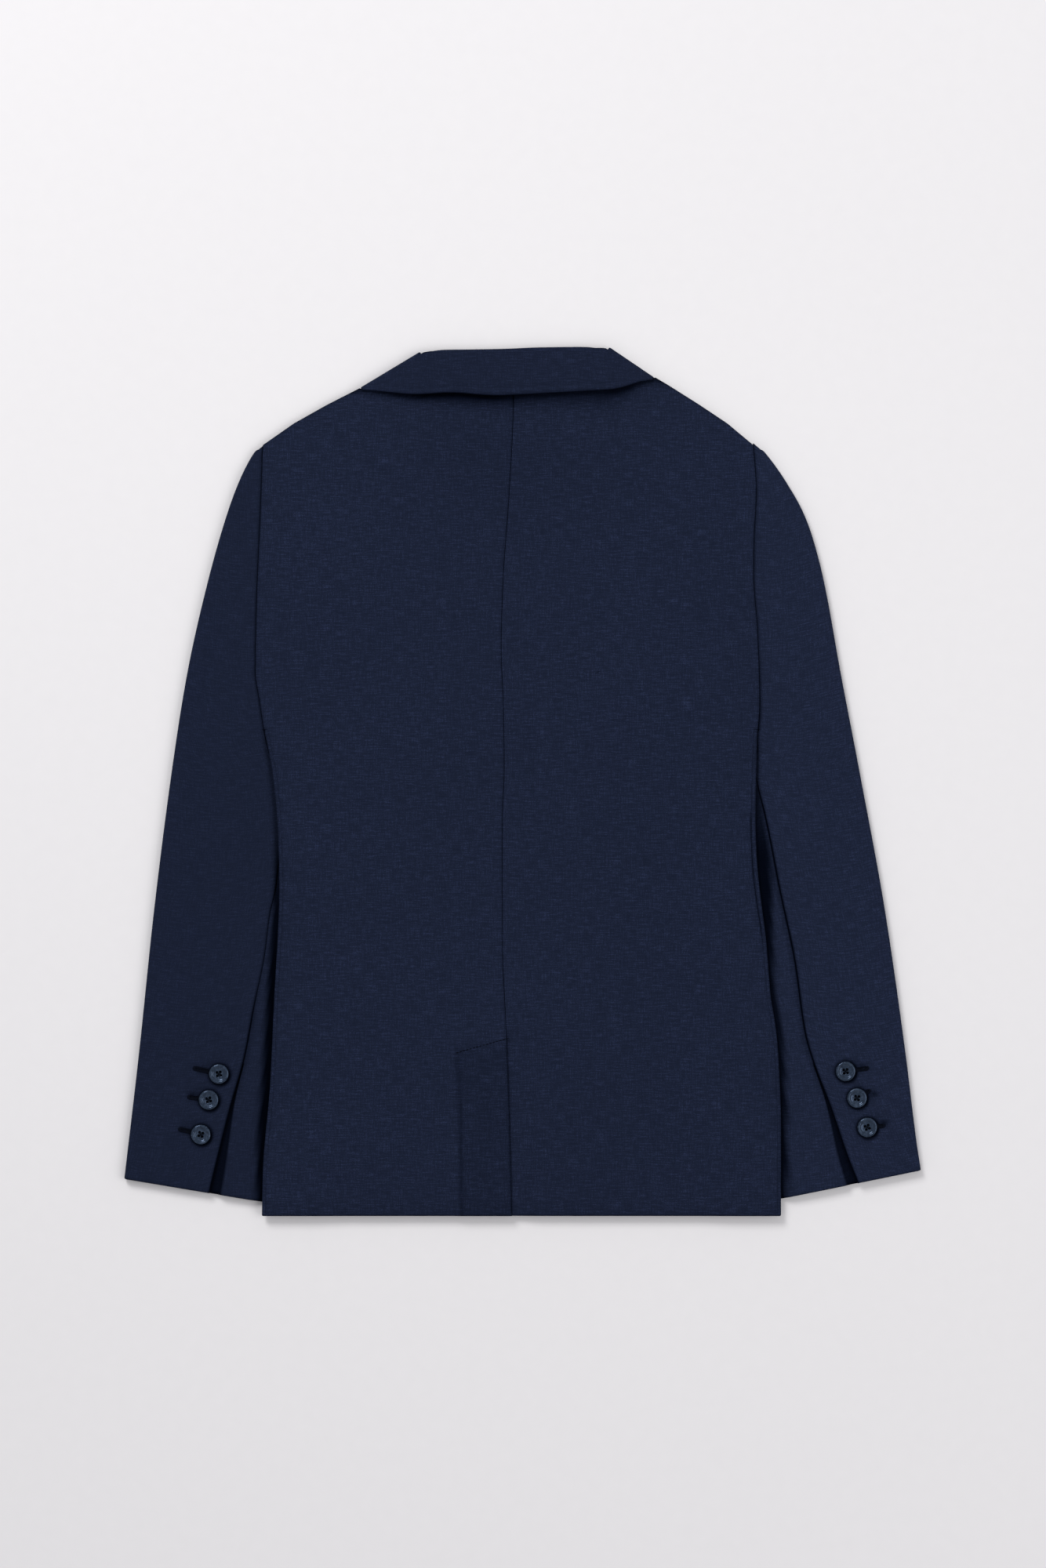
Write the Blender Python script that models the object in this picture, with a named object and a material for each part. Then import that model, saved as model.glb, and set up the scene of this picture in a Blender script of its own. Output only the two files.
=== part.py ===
# A boy's tailored jacket laid flat on its front, with the back upward.
# X runs to the right of the back view, Y from the hem to the collar, Z up from the surface it lies on.
# All sizes are in millimetres until a mesh is made.
import math

import bpy
import numpy as np

MM = 0.001

# Cloth walls and the gap kept at seams
BACK_WALL = 2.0
FRONT_WALL = 1.4
LAPEL_WALL = 1.2
SIDE_WALL = 1.6
SLEEVE_WALL = 1.5
COLLAR_WALL = 1.8
STAND_WALL = 1.6
SEAM_GAP = 0.3
HALF_GAP = SEAM_GAP / 2

# Heights of the middle of each layer
BACK_HEIGHT = 6.0
BACK_NECK_HEIGHT = 4.9
BACK_EDGE_LIFT = 1.0
SHOULDER_EDGE_HEIGHT = 4.75
SHOULDER_FRONT_LIFT = 1.9
VENT_LAP_LIFT = 0.95
VENT_UNDERLAP_HEIGHT = 4.6
FRONT_HEIGHT = FRONT_WALL / 2
LAPEL_LIFT = LAPEL_WALL + SEAM_GAP
COLLAR_LIFT = COLLAR_WALL + SEAM_GAP
FRONT_LAP = FRONT_WALL + 2 * SEAM_GAP
SIDE_OVER_SLEEVE = 4.55
# How far past a piece underneath the cloth above stays raised, and where it is down again
LIFT_SHOULDER = 18.0
LIFT_END = 42.0
FOLD_WIDTH = 1.7
SLEEVE_LOW = SLEEVE_WALL / 2
SLEEVE_CROWN = 5.75
SLEEVE_TUCKED = 2.65
FALL_HEIGHT = 7.25
FALL_EDGE_LIFT = 1.0
STAND_HEIGHT = 4.75

# Main places along the jacket
CENTRE_X = -6.0
HEM_Y = -331.5
UNDERARM_Y = 40.0
TUCK_START_Y = 24.0
VENT_TOP_Y = -206.0
VENT_WIDTH = 38.0
CUFF_VENT_Y = -205.0
CUFF_UNDERLAP = 18.0
NECK_SEAM_Y = 306.0
BREAK_Y = 5.0
ROLL_TOP = (72.0, 322.0)

# Cuff buttons
BUTTON_RADIUS = 7.5
BUTTON_HEIGHT = 2.6
BUTTON_HOLE_RADIUS = 0.9
BUTTON_HOLE_OFFSET = 1.7

# Heights on the jacket at which the body and its side panels have a row of points
BODY_ROWS = (-331.5, -300, -265, -235, -206, -165, -120, -80, -40, -12, 10, 25, 40,
             44, 75, 110, 145, 180, 200, 220, 232, 243, 252, 257.5)
SIDE_ROW_COUNT = 13

# Each curve is a short table of rows: y, x
LEFT = {
    "sign": -1,
    "outer": ((257.5, -198.5), (250.5, -205.5), (236, -213.9), (208.5, -224.7), (154.5, -240.3),
              (82.5, -256.5), (10.5, -267.9), (-97.5, -281.7), (-205.5, -293.1), (-303.3, -304.5)),
    "edge": ((257.5, -198.5), (213, -200), (133, -203.3), (85, -204.2), (62, -201), (40.5, -197.7),
             (20, -193.2), (-1.5, -189.9), (-37.5, -186.9), (-80, -185.9), (-168, -189.9),
             (-231, -192.9), (-295, -198.3), (-331.5, -199.2)),
    "hindarm": ((40, -201), (24, -197), (4, -187), (-47, -185.5), (-76.5, -188), (-100, -193),
                (-131.7, -197), (-170.7, -204.9), (-209.7, -212.2), (-248.7, -223.1),
                (-286, -232.5), (-314, -239.2)),
    "seam_inset": ((40, 2.9), (-331.5, 2.9)),
    "shoulder": ((-198.5, 257.5), (-174.9, 274.0), (-149.7, 288.2), (-124.5, 301.0), (-122.3, 297.4),
                 (-100, 310.1), (-78.2, 323.2)),
    "neck": ((-78.2, 323.2), (-66, 315), (-45, 309), (-25, 306.7), (-6.2, 306)),
    "shares": (0, 0.02, 0.06, 0.13, 0.22, 0.31, 0.3846, 0.396, 0.51, 0.625, 0.71, 0.8, 0.88, 0.95, 1),
    "front_shares": (0, 0.07, 0.15, 0.26, 0.38, 0.5, 0.615, 0.633, 0.76, 0.88, 1),
    "cuff_slope": 0.167,
    "buttons": ((-231.9, -222.9), (-239.7, -242.7), (-245.7, -269.1)),
}
RIGHT = {
    "sign": 1,
    "outer": ((257.5, 179.5), (250.5, 185.7), (241, 193.5), (226.5, 203.1), (208.5, 213.3),
              (190.5, 220.5), (154.5, 230.1), (82.5, 243.3), (10.5, 257.1), (-97.5, 276.9),
              (-205.5, 292.5), (-277.5, 301.5), (-296.7, 304.5)),
    "edge": ((257.5, 176.3), (222, 178.5), (182, 176.7), (158, 176.5), (113.7, 179.6), (62, 181.1),
             (25, 178.9), (-28.5, 177.9), (-58.4, 178.9), (-92.7, 182.4), (-118, 185.7),
             (-163.9, 189.6), (-184.5, 192.9), (-207, 195.2), (-265, 197.4), (-331.5, 197.4)),
    "hindarm": ((40, 183), (24, 180), (9, 177.5), (-3.3, 180.1), (-39.9, 188.1), (-81.3, 196.1),
                (-136.5, 207.7), (-191.5, 215.7), (-212, 221.4), (-248.7, 235.2), (-285.6, 247.8),
                (-306.3, 255.9)),
    "seam_inset": ((40, 2.9), (0, 3.1), (-40, 3.6), (-80, 3.7), (-120, 3.0), (-331.5, 2.9)),
    "shoulder": ((64.7, 328.1), (80, 318.1), (99.2, 304.4), (101.2, 309.5), (111.9, 303.0),
                 (134.7, 288.6), (156.3, 274.2), (176.3, 257.5)),
    "neck": ((-5.6, 306), (12, 306.8), (33, 309.5), (54, 317), (64.7, 328.1)),
    "shares": (0, 0.02, 0.06, 0.13, 0.22, 0.31, 0.4125, 0.4236, 0.52, 0.613, 0.71, 0.8, 0.88, 0.95, 1),
    "front_shares": (0, 0.07, 0.15, 0.26, 0.38, 0.5, 0.59, 0.6803, 0.6985, 0.86, 1),
    "cuff_slope": 0.2045,
    "buttons": ((246.6, -220.9), (255.3, -241.3), (263.1, -263.7)),
}

# Centre-back seam: y, x
CENTRE_BACK = ((306, -5.9), (257.7, -7.9), (202.5, -11.2), (158, -14.5), (102, -16.1), (58, -14.4),
               (10, -13.8), (-30, -15.2), (-127, -15), (-184, -12.6), (-242, -10.5), (-331.5, -8.1))

# How far the sleeve's inner fold lies under the body edge: y, depth
TUCK = ((40, -0.35), (24, -0.35), (10, 6), (-8, 13), (-25, 19), (-50, 23), (-90, 24), (-200, 18),
        (-260, 14), (-331.5, 10))

# Inward distance from the body edge to the seam of front and side panel, and above the underarm
# to the front armhole: y, distance
FRONT_SEAM = ((-331.5, 68), (-200, 67), (-80, 66), (-12, 61), (10, 54), (25, 47), (40, 38), (44, 35),
              (75, 20), (110, 10), (145, 5), (180, 3), (220, 1), (257.5, 0.2))

# Front edge below the break, measured outward from the centre line: y, across
FRONT_EDGE = ((-331.5, 14), (-322, 4), (-305, -7), (-280, -14), (-240, -17.5), (-200, -18),
              (BREAK_Y, -18), (ROLL_TOP[1], ROLL_TOP[0]))

# Outer limit of what is turned back under the front: y, across
COVER = ((-45, -62), (5, -20), (25, 4), (40, 14), (80, 38), (140, 70), (195, 98), (232, 114),
         (270, 120), (324, 121))

# Lapel, by its fold and its free edge: across, y
LAPEL_ROLL = ((-15.5, 9.5), (1.5, 73), (20, 138), (38, 202), (56, 266))
LAPEL_EDGE = ((-13, 8), (14, 48), (38, 96), (66, 150), (92, 200), (110, 232))
LAPEL_TOP = ((56, 266), (71, 259.5), (86, 252.8), (97, 241.5), (110, 232))

# Free edge of the collar fall over the back: x, y
FALL_EDGE = ((-122.6, 299.3), (-110, 298.3), (-95.7, 296.8), (-82.9, 295.9), (-55.6, 297.2),
             (-20.2, 295.1), (0.7, 295.9), (24.8, 297.2), (45.7, 298.4), (67.4, 299.6),
             (79.4, 302.2), (89, 305.4), (99.1, 307.1))
# Roll of the collar over the back: x, y
FALL_ROLL = ((-77.2, 326.6), (-75.2, 328.3), (-66, 329.3), (-39.3, 329.6), (-13.5, 330.1),
             (13.5, 331.2), (56, 331.6), (62.6, 331.5), (65, 330.2))

# Soft folds pressed into the cloth: x, y, turn in degrees, half length, half width, height
BACK_FOLDS = (
    (-6, 50, 90, 75, 34, 0.45),
    (-150, 130, 78, 90, 14, -0.45),
    (-120, 20, 65, 70, 12, 0.4),
    (140, 120, 100, 80, 13, -0.45),
    (120, -10, 112, 70, 12, 0.4),
    (-110, -240, 86, 80, 16, 0.35),
    (90, -230, 96, 75, 15, -0.35),
)
SLEEVE_FOLDS = (
    (-238, -60, 96, 60, 9, -0.6),
    (-262, -150, 84, 70, 8, 0.4),
    (-232, 110, 82, 60, 8, -0.5),
    (236, -50, 84, 60, 9, -0.6),
    (262, -160, 98, 70, 8, 0.4),
    (214, 120, 98, 60, 8, -0.5),
)

FABRIC_NAVY = (0.013, 0.019, 0.042, 1.0)
BUTTON_BLUE = (0.03, 0.05, 0.08, 1.0)


def along(table, value):
    """Smooth value of a two-column table at one place or at an array of places."""
    rows = sorted(table)
    place = np.array([row[0] for row in rows], float)
    size = np.array([row[1] for row in rows], float)
    step = np.diff(place)
    slope = np.diff(size) / step
    tangent = np.zeros(len(rows))
    tangent[0], tangent[-1] = slope[0], slope[-1]
    same = slope[:-1] * slope[1:] > 0
    total = np.where(same, slope[:-1] + slope[1:], 1.0)
    tangent[1:-1] = np.where(same, 2 * slope[:-1] * slope[1:] / total, 0.0)
    value = np.clip(np.asarray(value, float), place[0], place[-1])
    index = np.clip(np.searchsorted(place, value, side="right") - 1, 0, len(step) - 1)
    width = step[index]
    t = (value - place[index]) / width
    return ((2 * t**3 - 3 * t**2 + 1) * size[index] + (t**3 - 2 * t**2 + t) * width * tangent[index]
            + (3 * t**2 - 2 * t**3) * size[index + 1] + (t**3 - t**2) * width * tangent[index + 1])


def fade(value, start, end):
    """Soft step: 0 at start, 1 at end."""
    t = np.clip((np.asarray(value, float) - start) / (end - start), 0, 1)
    return t * t * (3 - 2 * t)


def blend(low, high, share):
    return low + (high - low) * share


def folds(table, x, y):
    """Height of the soft troughs and ridges of a table at points x, y."""
    height = np.zeros(np.shape(x))
    for centre_x, centre_y, turn, half_length, half_width, rise in table:
        angle = math.radians(turn)
        run = (x - centre_x) * math.cos(angle) + (y - centre_y) * math.sin(angle)
        side = (y - centre_y) * math.cos(angle) - (x - centre_x) * math.sin(angle)
        height = height + rise * np.exp(-(run / half_length) ** 2 - (side / half_width) ** 2)
    return height


def edge_path(points, count):
    """Points spaced evenly along a run of straight pieces."""
    points = np.array(points, float)
    reach = np.concatenate(([0], np.cumsum(np.linalg.norm(np.diff(points, axis=0), axis=1))))
    place = np.linspace(0, reach[-1], count)
    return np.stack([np.interp(place, reach, points[:, k]) for k in range(2)], axis=1)


def patch(bottom, top, left, right, across_share, up_share):
    """Plan of a four-sided panel: each side is given as points, left to right or hem to neck."""
    u = np.array(across_share)[None, :, None]
    v = np.array(up_share)[:, None, None]
    corners = ((1 - u) * (1 - v) * bottom[0] + u * (1 - v) * bottom[-1]
               + (1 - u) * v * top[0] + u * v * top[-1])
    return ((1 - v) * bottom[None] + v * top[None] + (1 - u) * left[:, None] + u * right[:, None]
            - corners)


def wall(name, middle, thickness, colour, keep=None):
    """Closed cloth wall, half its thickness to each side of a grid of middle points."""
    rows, columns = middle.shape[:2]
    if keep is None:
        keep = np.ones((rows - 1, columns - 1), bool)
    across = np.gradient(middle, axis=1)
    up = np.gradient(middle, axis=0)
    normal = np.cross(across, up)
    normal /= np.linalg.norm(normal, axis=2, keepdims=True)
    faces = []
    under = rows * columns
    for i, j in zip(*np.nonzero(keep)):
        a = int(i * columns + j)
        faces.append((a, a + 1, a + 1 + columns, a + columns))
    edges = {(face[k], face[(k + 1) % 4]) for face in faces for k in range(4)}
    rim = [(b, a, a + under, b + under) for a, b in sorted(edges) if (b, a) not in edges]
    faces += [tuple(v + under for v in reversed(face)) for face in faces] + rim
    points = np.concatenate(((middle + normal * thickness / 2).reshape(-1, 3),
                             (middle - normal * thickness / 2).reshape(-1, 3)))
    used = sorted({v for face in faces for v in face})
    place = {v: n for n, v in enumerate(used)}
    mesh = bpy.data.meshes.new(name)
    mesh.from_pydata([tuple(points[v] * MM) for v in used], [],
                     [tuple(place[v] for v in face) for face in faces])
    return add_object(name, mesh, colour, 0.85)


def add_object(name, mesh, colour, roughness):
    mesh.shade_smooth()
    mesh.set_sharp_from_angle(angle=math.radians(40))
    material = bpy.data.materials.new(name + "_material")
    material.use_nodes = True
    shader = material.node_tree.nodes["Principled BSDF"]
    shader.inputs["Base Color"].default_value = colour
    shader.inputs["Roughness"].default_value = roughness
    shader.inputs["Metallic"].default_value = 0.0
    mesh.materials.append(material)
    made = bpy.data.objects.new(name, mesh)
    bpy.context.scene.collection.objects.link(made)
    return made


# Layer heights

def front_edge_across(y):
    return np.interp(y, [row[0] for row in FRONT_EDGE], [row[1] for row in FRONT_EDGE])


def shoulder_drop(half, x, y):
    """Nearness to the shoulder line outside the collar: 1 at the line, 0 well inside."""
    line = np.interp(x, [row[0] for row in half["shoulder"]], [row[1] for row in half["shoulder"]])
    bare = fade(abs(x - CENTRE_X), 112, 124)
    return (1 - fade((line - y) * 0.86, 0, 11)) * bare


def back_height(half, x, y):
    inside = np.abs(along(half["edge"], y) - x)
    over_sleeve = fade(y, UNDERARM_Y, TUCK_START_Y)
    height = BACK_HEIGHT + BACK_EDGE_LIFT * over_sleeve * (1 - fade(inside, 34, 70))
    opening = np.exp(-((x - CENTRE_X) / (16 + 0.2 * np.clip(y, 60, 330))) ** 2) * fade(y, 115, 180)
    sag = np.maximum(fade(y, 222, 285), opening)
    height -= (BACK_HEIGHT - BACK_NECK_HEIGHT) * sag
    height += folds(BACK_FOLDS, x, y) * (1 - sag)
    below = fade(y, VENT_TOP_Y + 30, VENT_TOP_Y + 4)
    seam = along(CENTRE_BACK, y)
    if half is LEFT:
        height += VENT_LAP_LIFT * below * fade(x, seam - VENT_WIDTH - 28, seam - VENT_WIDTH - 6)
    else:
        share = below * (1 - fade(x, seam, seam + 30))
        height = blend(height, VENT_UNDERLAP_HEIGHT, share)
    return blend(height, SHOULDER_EDGE_HEIGHT, shoulder_drop(half, x, y))


def lapel_lift(x_across, y):
    cover = along(COVER, y)
    lift = blend(LAPEL_LIFT, COLLAR_LIFT, fade(y, 218, 238))
    return lift * (1 - fade(x_across, cover + LIFT_SHOULDER, cover + LIFT_END))


def front_height(half, x, y):
    across = (x - CENTRE_X) * half["sign"]
    lift = lapel_lift(across, y)
    if half is RIGHT:
        beyond = x - (CENTRE_X - front_edge_across(y))
        over = lapel_lift(CENTRE_X - x, y) + FRONT_LAP
        lift = np.maximum(lift, over * (1 - fade(beyond, LIFT_SHOULDER + 12, LIFT_END + 14)))
    lift = np.maximum(lift, SHOULDER_FRONT_LIFT * shoulder_drop(half, x, y))
    return FRONT_HEIGHT + lift


def sleeve_top(half, x, y):
    """Middle of the sleeve's upper layer."""
    beyond = (x - along(half["edge"], y)) * half["sign"]
    loose = blend(SLEEVE_TUCKED, SLEEVE_CROWN, fade(beyond, 2.5, 30))
    joined = blend(BACK_HEIGHT, SLEEVE_CROWN, fade(beyond, 2, 25))
    height = blend(joined, loose, fade(y, UNDERARM_Y, TUCK_START_Y))
    height = height + folds(SLEEVE_FOLDS, x, y) * fade(beyond, 8, 30)
    return height - 1.15 * fade(y, 228, 254)


# Pieces

def body_sides(half, outer_x, inner_rows_top, inner_x):
    """Plan points of a body panel's outer and inner sides, hem to neck."""
    rows = np.array(BODY_ROWS)
    scale = (inner_rows_top - HEM_Y) / (BODY_ROWS[-1] - HEM_Y)
    inner_y = HEM_Y + (rows - HEM_Y) * scale
    return np.stack((outer_x(rows), rows), axis=1), np.stack((inner_x(inner_y), inner_y), axis=1)


def body_panel(half, outer, inner, top_line, shares):
    """Plan of a panel between its outer side and its inner side."""
    left, right = (outer, inner) if half is LEFT else (inner, outer)
    if half is RIGHT:
        shares = tuple(1 - share for share in reversed(shares))
    hem_x = blend(left[0, 0], right[0, 0], np.array(shares))
    bottom = np.stack((hem_x, np.full(len(shares), HEM_Y)), axis=1)
    top_x = blend(left[-1, 0], right[-1, 0], np.array(shares))
    top_y = np.interp(top_x, [row[0] for row in top_line], [row[1] for row in top_line])
    top = np.stack((top_x, top_y), axis=1)
    left[-1], right[-1] = top[0], top[-1]
    up = (np.array(BODY_ROWS) - HEM_Y) / (BODY_ROWS[-1] - HEM_Y)
    return patch(bottom, top, left, right, shares, up)


def back_edge(half, y):
    """Side seam below the underarm and armhole seam above it."""
    inset = np.where(y <= UNDERARM_Y, along(half["seam_inset"], y), 0.0) + HALF_GAP
    return along(half["edge"], y) - half["sign"] * inset


def make_back(half, name):
    seam_side = -half["sign"] * HALF_GAP
    outer, inner = body_sides(half, lambda y: back_edge(half, y), NECK_SEAM_Y,
                              lambda y: along(CENTRE_BACK, y) - seam_side)
    top_line = tuple(half["shoulder"]) + tuple(half["neck"][1:])
    if half is RIGHT:
        top_line = tuple(half["neck"]) + tuple(half["shoulder"][1:])
    plan = body_panel(half, outer, inner, top_line, half["shares"])
    keep = None
    if half is RIGHT:
        plan, keep = add_vent_underlap(plan)
    x, y = plan[..., 0], plan[..., 1]
    middle = np.dstack((x, y, back_height(half, x, y)))
    wall(name, middle, BACK_WALL, FABRIC_NAVY, keep)


def add_vent_underlap(plan):
    """Columns to the left of the centre-back seam, kept below the slanted top of the vent."""
    vent_row = BODY_ROWS.index(VENT_TOP_Y)
    reach = np.array((1.0, 0.66, 0.33))
    seam = plan[:, :1]
    extra = np.repeat(seam, len(reach), axis=1)
    extra[..., 0] -= VENT_WIDTH * reach
    slant = np.zeros(len(plan))
    slant[vent_row] = 10.0
    extra[..., 1] -= slant[:, None] * reach
    plan = np.concatenate((extra, plan), axis=1)
    keep = np.ones((plan.shape[0] - 1, plan.shape[1] - 1), bool)
    keep[vent_row:, :len(reach)] = False
    return plan, keep


def make_front(half, name):
    sign = half["sign"]

    def outer_x(y):
        return along(half["edge"], y) - sign * (along(FRONT_SEAM, y) + HALF_GAP)

    outer, inner = body_sides(half, outer_x, ROLL_TOP[1],
                              lambda y: CENTRE_X + sign * front_edge_across(y))
    plan = body_panel(half, outer, inner, half["shoulder"], half["front_shares"])
    x, y = plan[..., 0], plan[..., 1]
    middle = np.dstack((x, y, front_height(half, x, y)))
    wall(name, middle, FRONT_WALL, FABRIC_NAVY)


def make_lapel(half, name, start):
    """The turned-back part of a front, from the start row of its two side tables."""
    up_count, across_count = 9, 5
    roll = edge_path(LAPEL_ROLL[start:], up_count)
    edge = edge_path(LAPEL_EDGE[start:], up_count)
    bottom = edge_path((LAPEL_ROLL[start], LAPEL_EDGE[start]), across_count)
    top = edge_path(LAPEL_TOP, across_count)
    share = np.linspace(0, 1, across_count)
    plan = patch(bottom, top, roll, edge, share, np.linspace(0, 1, up_count))
    x = CENTRE_X + half["sign"] * plan[..., 0]
    middle = np.dstack((x, plan[..., 1], np.full(x.shape, LAPEL_WALL / 2)))
    wall(name, middle, LAPEL_WALL, FABRIC_NAVY)


def fold_width(radius):
    """A tall fold is narrower than it is high, as pressed cloth is."""
    return min(radius, FOLD_WIDTH)


def arc(middle, radius, start, end, count):
    """Run outward and height of points round a fold, angles in degrees from the outward direction."""
    width = fold_width(radius)
    angles = np.radians(np.linspace(start, end, count))
    return [(width * math.cos(a), middle + radius * math.sin(a)) for a in angles]


def make_side(half, name):
    """Side panel: from the side-back seam round the body's fold to the side-front seam."""
    sign = half["sign"]
    rows = []
    for y in BODY_ROWS[:SIDE_ROW_COUNT]:
        edge = float(along(half["edge"], y))
        inset = float(along(half["seam_inset"], y)) - HALF_GAP
        width = float(along(FRONT_SEAM, y)) - HALF_GAP
        tuck = max(float(along(TUCK, y)), 0.0)
        over = float(fade(y, UNDERARM_Y, TUCK_START_Y))
        low = blend(SIDE_WALL / 2, SIDE_OVER_SLEEVE, over)
        high = float(back_height(half, np.array(edge - sign * inset), np.array(float(y))))
        radius = (high - low) / 2
        centre = SIDE_WALL / 2 + fold_width(radius)
        turn = [(centre - run, height) for run, height in arc((high + low) / 2, radius, 90, -90, 7)]
        lower = []
        for reach in (0.15, 0.4, 0.55, 0.7, 0.85, 1):
            distance = blend(centre, width, reach)
            drop = fade(distance, tuck + 12, tuck + 36) * over
            lower.append((distance, blend(low, SIDE_WALL / 2, float(drop))))
        rows.append([(edge - sign * run, y, height) for run, height in [(inset, high)] + turn + lower])
    wall(name, np.array(rows), SIDE_WALL, FABRIC_NAVY)


def sleeve_rows(half):
    """Row places: y at the outer fold and slope of the row, from the cap to the cuff."""
    cuff_y = half["outer"][-1][0]
    heights = [252, 243, 232, 220, 200, 180, 145, 110, 75, 44, 40.9, 25, 10, -6, -22, -48, -80,
               -120, -165, CUFF_VENT_Y + 12, CUFF_VENT_Y, -230, -255, -280, cuff_y]
    rows = []
    for y in heights:
        slope = half["cuff_slope"] * float(fade(y, UNDERARM_Y, cuff_y)) - 0.85 * float(fade(y, 240, 252))
        rows.append((y, slope))
    return rows


def meet(half, table, outer_x, y_outer, slope, offset=0.0):
    """Distance inward from the outer fold at which a row meets a curve."""
    x = outer_x
    for _ in range(6):
        y = y_outer - slope * abs(x - outer_x)
        extra = along(offset, y) if isinstance(offset, tuple) else offset
        x = float(along(half[table], y)) - half["sign"] * float(extra)
    return abs(x - outer_x)


def sleeve_section(half, y_outer, slope):
    """Sizes of one row of a sleeve, with its point maker."""
    sign = half["sign"]
    outer_x = float(along(half["outer"], y_outer))

    def plan(distance):
        return outer_x - sign * distance, y_outer - slope * distance

    def top(distance):
        x, y = plan(distance)
        return float(sleeve_top(half, np.array(x), np.array(y)))

    low = SLEEVE_LOW + 0.85 * float(fade(y_outer, 228, 254))
    outer_radius = (top(3.0) - low) / 2
    section = {"plan": plan, "top": top, "low": low, "radius": outer_radius,
               "start": SLEEVE_WALL / 2 + fold_width(outer_radius)}
    if y_outer > UNDERARM_Y + 2:
        section["upper"] = meet(half, "edge", outer_x, y_outer, slope)
        section["lower"] = meet(half, "edge", outer_x, y_outer, slope, FRONT_SEAM)
        return section
    fold = meet(half, "edge", outer_x, y_outer, slope, TUCK)
    radius = (top(fold - 2) - low) / 2
    inner = fold - SLEEVE_WALL / 2 - fold_width(radius)
    section["inner_radius"] = radius
    section["inner"] = inner
    section["upper"] = min(meet(half, "hindarm", outer_x, y_outer, slope), inner - 1.2)
    spare = blend(1.5, 18.0, float(fade(y_outer, UNDERARM_Y, -60)))
    section["lower"] = inner - spare
    return section


def make_top_sleeve(half, name):
    rows = []
    for y_outer, slope in sleeve_rows(half):
        part = sleeve_section(half, y_outer, slope)
        start, low, radius = part["start"], part["low"], part["radius"]
        upper_end = part["upper"] - HALF_GAP
        row = [(run, part["top"](run)) for run in np.linspace(upper_end, start, 6)]
        high = row[-1][1]
        middle = (high + low) / 2
        row += [(start - run, height) for run, height in arc(middle, radius, 60, -90, 6)]
        row += [(run, low) for run in np.linspace(start, part["lower"] - HALF_GAP, 5)[1:]]
        rows.append([part["plan"](run) + (height,) for run, height in row])
    wall(name, np.array(rows), SLEEVE_WALL, FABRIC_NAVY)


def make_under_sleeve(half, name):
    rows = []
    stations = [row for row in sleeve_rows(half) if row[0] < UNDERARM_Y + 2]
    vent_row = [row[0] for row in stations].index(CUFF_VENT_Y)
    step_down = SLEEVE_WALL + SEAM_GAP + 0.1
    for number, (y_outer, slope) in enumerate(stations):
        part = sleeve_section(half, y_outer, slope)
        low, radius, inner = part["low"], part["inner_radius"], part["inner"]
        row = [(run, low) for run in np.linspace(part["lower"] + HALF_GAP, inner, 3)]
        high = low + 2 * radius
        row += [(inner + run, height)
                for run, height in arc((high + low) / 2, radius, -60, 60, 5)]
        seam = part["upper"] + HALF_GAP
        vented = number >= vent_row
        down = float(fade(y_outer, CUFF_VENT_Y + 1, CUFF_VENT_Y))
        open_width = blend(1.5, 6.0, float(fade(y_outer, CUFF_VENT_Y, -300)))
        edge = seam + open_width
        row += [(run, part["top"](run)) for run in np.linspace(inner, max(edge, seam), 5)]
        row.append((seam, part["top"](seam) - step_down * down))
        for reach in (0.5, 1.0):
            run = seam - CUFF_UNDERLAP * reach
            row.append((run, part["top"](run) - step_down * (1 if vented else down)))
        rows.append([part["plan"](run) + (height,) for run, height in row])
    grid = np.array(rows)
    keep = np.ones((grid.shape[0] - 1, grid.shape[1] - 1), bool)
    keep[:vent_row, -2:] = False
    wall(name, grid, SLEEVE_WALL, FABRIC_NAVY, keep)


def make_collar_fall():
    """The folded-over collar, from notch to notch by way of the back neck."""
    across_count = 5
    low = COLLAR_WALL / 2
    radius = (FALL_HEIGHT - low) / 2
    sections = []

    def front_part(half, ends):
        sign = half["sign"]
        for roll, edge in ends:
            sections.append(((CENTRE_X + sign * roll[0], roll[1], low),
                             (CENTRE_X + sign * edge[0], edge[1], low)))

    def turn(roll, edge, outward, start, end):
        for angle in np.radians(np.linspace(start, end, 7)):
            run = fold_width(radius) * math.cos(angle)
            height = (FALL_HEIGHT + low) / 2 + radius * math.sin(angle)
            sections.append(tuple((point[0] + outward[0] * run, point[1] + outward[1] * run, height)
                                  for point in (roll, edge)))

    front_ends = (((56.3, 266.7), (104, 246.4)), ((62, 285), (118, 266)), ((68, 305), (119, 285)))
    front_part(LEFT, front_ends)
    turn(FALL_ROLL[0], FALL_EDGE[0], (-0.514, 0.857), -90, 90)
    stations = (0.035, 0.08, 0.15, 0.23, 0.31, 0.4, 0.5, 0.6, 0.69, 0.77, 0.85, 0.92, 0.965)
    for share in stations:
        roll_x = blend(FALL_ROLL[0][0], FALL_ROLL[-1][0], share)
        edge_x = blend(FALL_EDGE[0][0], FALL_EDGE[-1][0], share)
        lift = FALL_EDGE_LIFT * float(fade(share, 0, 0.12) * fade(share, 1, 0.88))
        sections.append(((roll_x, float(along(FALL_ROLL, roll_x)), FALL_HEIGHT),
                         (edge_x, float(along(FALL_EDGE, edge_x)), FALL_HEIGHT + lift)))
    turn(FALL_ROLL[-1], FALL_EDGE[-1], (0.539, 0.842), 90, -90)
    front_part(RIGHT, tuple(reversed(front_ends)))
    share = np.linspace(0, 1, across_count)[None, :, None]
    ends = np.array(sections)
    grid = ends[:, :1] * (1 - share) + ends[:, 1:] * share
    wall("collar_fall", grid, COLLAR_WALL, FABRIC_NAVY)


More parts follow.
